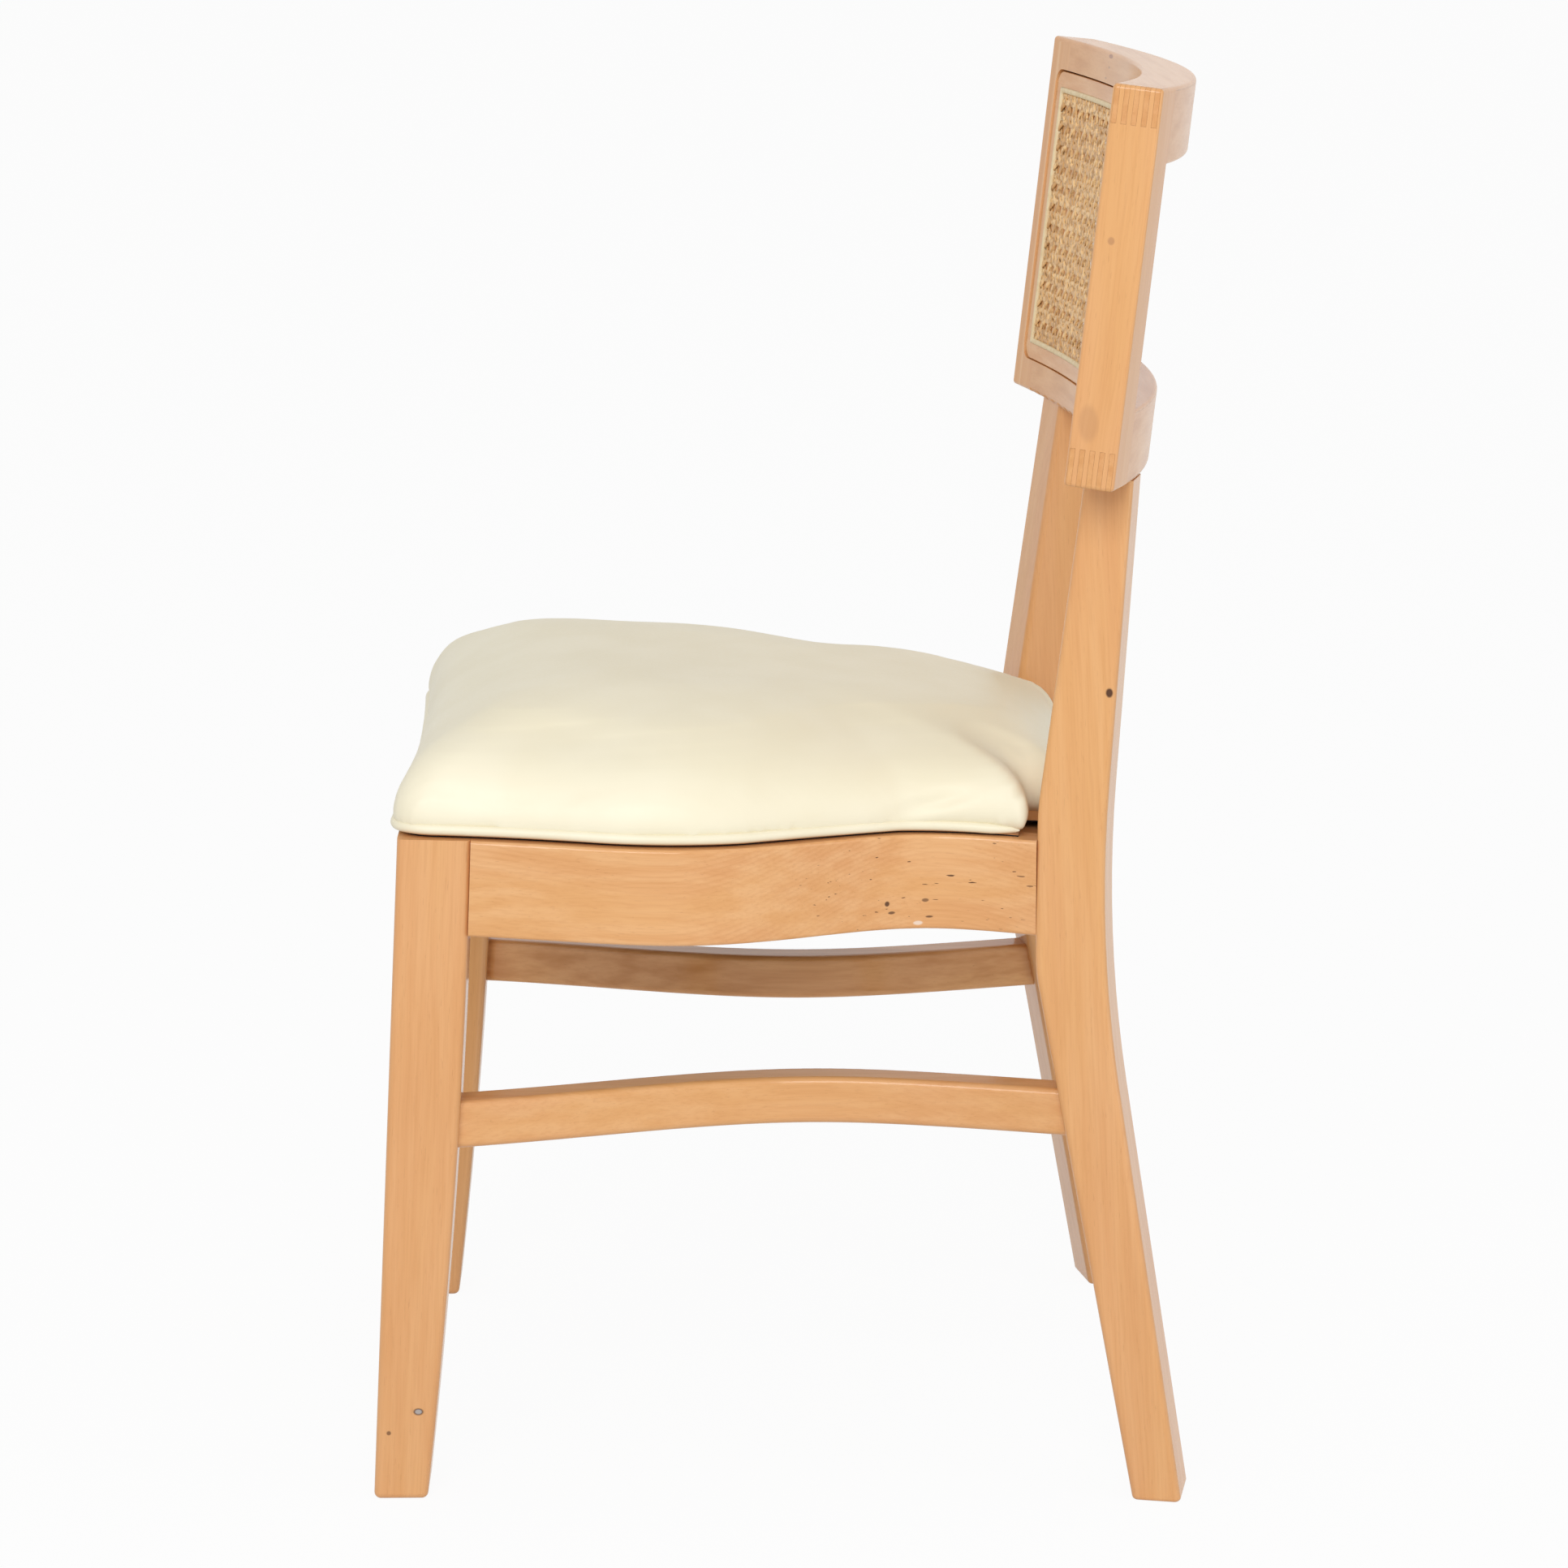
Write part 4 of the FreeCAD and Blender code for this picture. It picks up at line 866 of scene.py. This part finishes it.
def cane():
    """Natural cane with a glossy skin, each strand with a tone of its own."""
    tree = Tree("cane")
    place = object_place(tree)
    tone = tree.add("Attribute", {}, attribute_name="tone").outputs["Fac"]
    lift = tree.add("Attribute", {}, attribute_name="lift").outputs["Fac"]
    blotch = tree.noise(place, 0.35, 4.0)
    color = tree.mix(tone, shown(CANE_TAN), shown(CANE_STRAW))
    blot = tree.math("MULTIPLY", tree.span(blotch, 0.46, 0.66), 0.65)
    color = tree.mix(blot, color, shown(CANE_BLOT))
    # Painted shade: colour darkens low between the strands, on either face of the sheet
    normal = tree.add("NewGeometry", {}).outputs["Normal"]
    face_sign = tree.math("SIGN", tree.math("ADD", tree.dot(normal, (0, -1, 0)), 0.3))
    height = tree.math("MULTIPLY", lift, face_sign)
    color = tree.mix(tree.span(height, 0.20, -0.55), color, shown(CANE_PAINTED_SHADE))
    fibre = tree.noise(place, 1.8, 2.0)
    tree.set(Base_Color=color, Roughness=tree.span(blotch, 0.3, 0.7, 0.32, 0.48), Specular_IOR_Level=0.5)
    tree.bump(fibre, 0.2, 0.1 * MM)
    return tree.material


def reed():
    """Pale matte reed."""
    tree = Tree("reed")
    place = object_place(tree)
    streak = tree.noise(place, 0.25, 3.0)
    color = tree.mix(tree.span(streak, 0.35, 0.7), shown(REED_LIGHT), shown(REED_SHADE))
    tree.set(Base_Color=color, Roughness=tree.span(streak, 0.3, 0.7, 0.5, 0.62))
    tree.bump(tree.noise(place, 1.5, 2.0), 0.08, 0.1 * MM)
    return tree.material


def dust_cloth():
    """Black cloth with a fine weave."""
    tree = Tree("dust_cloth")
    place = object_place(tree)
    waves = []
    for way in ((1, 0, 0), (0, 1, 0)):
        waves.append(tree.math("SINE", tree.math("MULTIPLY", tree.dot(place, way), CLOTH_THREADS)))
    weave = tree.math("MULTIPLY", *waves)
    color = tree.mix(tree.span(weave, -0.6, 0.6), shown(CLOTH_DARK), shown(CLOTH_LIGHT))
    tree.set(Base_Color=color, Roughness=0.9, Specular_IOR_Level=0.2)
    tree.bump(weave, 0.3, 0.15 * MM)
    return tree.material


def steel():
    """Zinc plated screws."""
    tree = Tree("steel")
    place = object_place(tree)
    brushed = tree.noise(place, 0.9, 3.0)
    color = tree.mix(tree.span(brushed, 0.3, 0.7), shown(STEEL_DARK), shown(STEEL_LIGHT))
    tree.set(Base_Color=color, Metallic=1.0, Roughness=tree.span(brushed, 0.3, 0.7, 0.28, 0.42))
    return tree.material


def bare_dowel():
    """Bare dowel rod."""
    tree = Tree("bare_dowel")
    place = object_place(tree)
    streak = tree.noise(place, 0.7, 3.0)
    color = tree.mix(tree.span(streak, 0.3, 0.7), shown(DOWEL_LIGHT), shown(DOWEL_SHADE))
    tree.set(Base_Color=color, Roughness=0.7)
    tree.bump(streak, 0.2, 0.1 * MM)
    return tree.material


STEEL_NODES = ("corner_block_screws", "seat_screws")
DOWEL_NODES = ("side_rail_dowels", "front_rail_dowels", "rear_rail_dowels", "stretcher_dowels",
               "post_dowels")


def dress_small_parts():
    bright = steel()
    for name in STEEL_NODES:
        dress(nodes[name], bright)
    bare = bare_dowel()
    for name in DOWEL_NODES:
        dress(nodes[name], bare)


# Stage

def make_camera():
    data = bpy.data.cameras.new("camera")
    data.sensor_width = SENSOR_WIDTH
    data.lens = FOCAL_PIXELS / IMAGE_WIDTH * SENSOR_WIDTH
    camera = bpy.data.objects.new("camera", data)
    forward = Vector((-math.cos(CAMERA_PITCH) * math.cos(CAMERA_YAW),
                      math.cos(CAMERA_PITCH) * math.sin(CAMERA_YAW), -math.sin(CAMERA_PITCH)))
    camera.location = CAMERA_PLACE
    camera.rotation_euler = forward.to_track_quat("-Z", "Y").to_euler()
    bpy.context.scene.collection.objects.link(camera)
    bpy.context.scene.camera = camera


def seen_directly(tree_nodes, links):
    """1 for rays that show the background: from the camera, a gloss or a clear material."""
    path = tree_nodes.new("ShaderNodeLightPath")
    total = path.outputs["Is Camera Ray"]
    for name in ("Is Glossy Ray", "Is Transmission Ray"):
        larger = tree_nodes.new("ShaderNodeMath")
        larger.operation = "MAXIMUM"
        links.new(total, larger.inputs[0])
        links.new(path.outputs[name], larger.inputs[1])
        total = larger.outputs[0]
    return total


WORLD_STRENGTH = 0.60
FLOOR_COLOR = (0.78, 0.78, 0.78)
FLOOR_SHADOW_SHARE = 0.06
FLOOR_HALF = 30.0
KEY_LIGHT = {"place": (3.3, -0.5, 2.2), "target": (0, 0, 0.45), "size": (2.4, 1.6), "power": 70}
RIM_LIGHT = {"place": (1.2, 2.6, 1.1), "target": (0, 0, 0.5), "size": (0.9, 1.9), "power": 10}


def make_world():
    world = bpy.data.worlds.new("studio")
    world.use_nodes = True
    bpy.context.scene.world = world
    tree_nodes = world.node_tree.nodes
    links = world.node_tree.links
    background = tree_nodes["Background"]
    background.inputs["Color"].default_value = (1, 1, 1, 1)
    strength = tree_nodes.new("ShaderNodeMapRange")
    strength.inputs["To Min"].default_value = WORLD_STRENGTH
    strength.inputs["To Max"].default_value = 1.0
    links.new(seen_directly(tree_nodes, links), strength.inputs["Value"])
    links.new(strength.outputs["Result"], background.inputs["Strength"])


def make_floor():
    corners = [(-FLOOR_HALF, -FLOOR_HALF, 0), (FLOOR_HALF, -FLOOR_HALF, 0),
               (FLOOR_HALF, FLOOR_HALF, 0), (-FLOOR_HALF, FLOOR_HALF, 0)]
    floor = new_piece("floor", corners, [(0, 1, 2, 3)])
    tree = Tree("floor")
    diffuse = tree.add("BsdfDiffuse", {"Color": shown(FLOOR_COLOR)})
    glow = tree.add("Emission", {"Color": (1, 1, 1, 1), "Strength": 1.0})
    share = tree.math("MULTIPLY", seen_directly(tree.nodes, tree.links), 1 - FLOOR_SHADOW_SHARE)
    mixed = tree.add("MixShader", {0: share, 1: diffuse.outputs[0], 2: glow.outputs[0]})
    tree.links.new(mixed.outputs[0], tree.nodes["Material Output"].inputs["Surface"])
    dress(floor, tree.material)


def area_light(name, place, target, size, power):
    data = bpy.data.lights.new(name, "AREA")
    data.shape = "RECTANGLE"
    data.size, data.size_y = size
    data.energy = power
    light = bpy.data.objects.new(name, data)
    light.location = place
    light.rotation_euler = (Vector(target) - Vector(place)).to_track_quat("-Z", "Y").to_euler()
    bpy.context.scene.collection.objects.link(light)


def make_lights():
    area_light("key", **KEY_LIGHT)
    area_light("rim", **RIM_LIGHT)


make_camera()
make_world()
make_floor()
make_lights()
dress_wood()
dress_small_parts()
upholstery = vinyl()
make_cushion(upholstery)
make_piping(upholstery)
make_dust_cover(dust_cloth())
make_cane(cane())
make_spline(reed())

bpy.context.scene.view_settings.view_transform = "Standard"
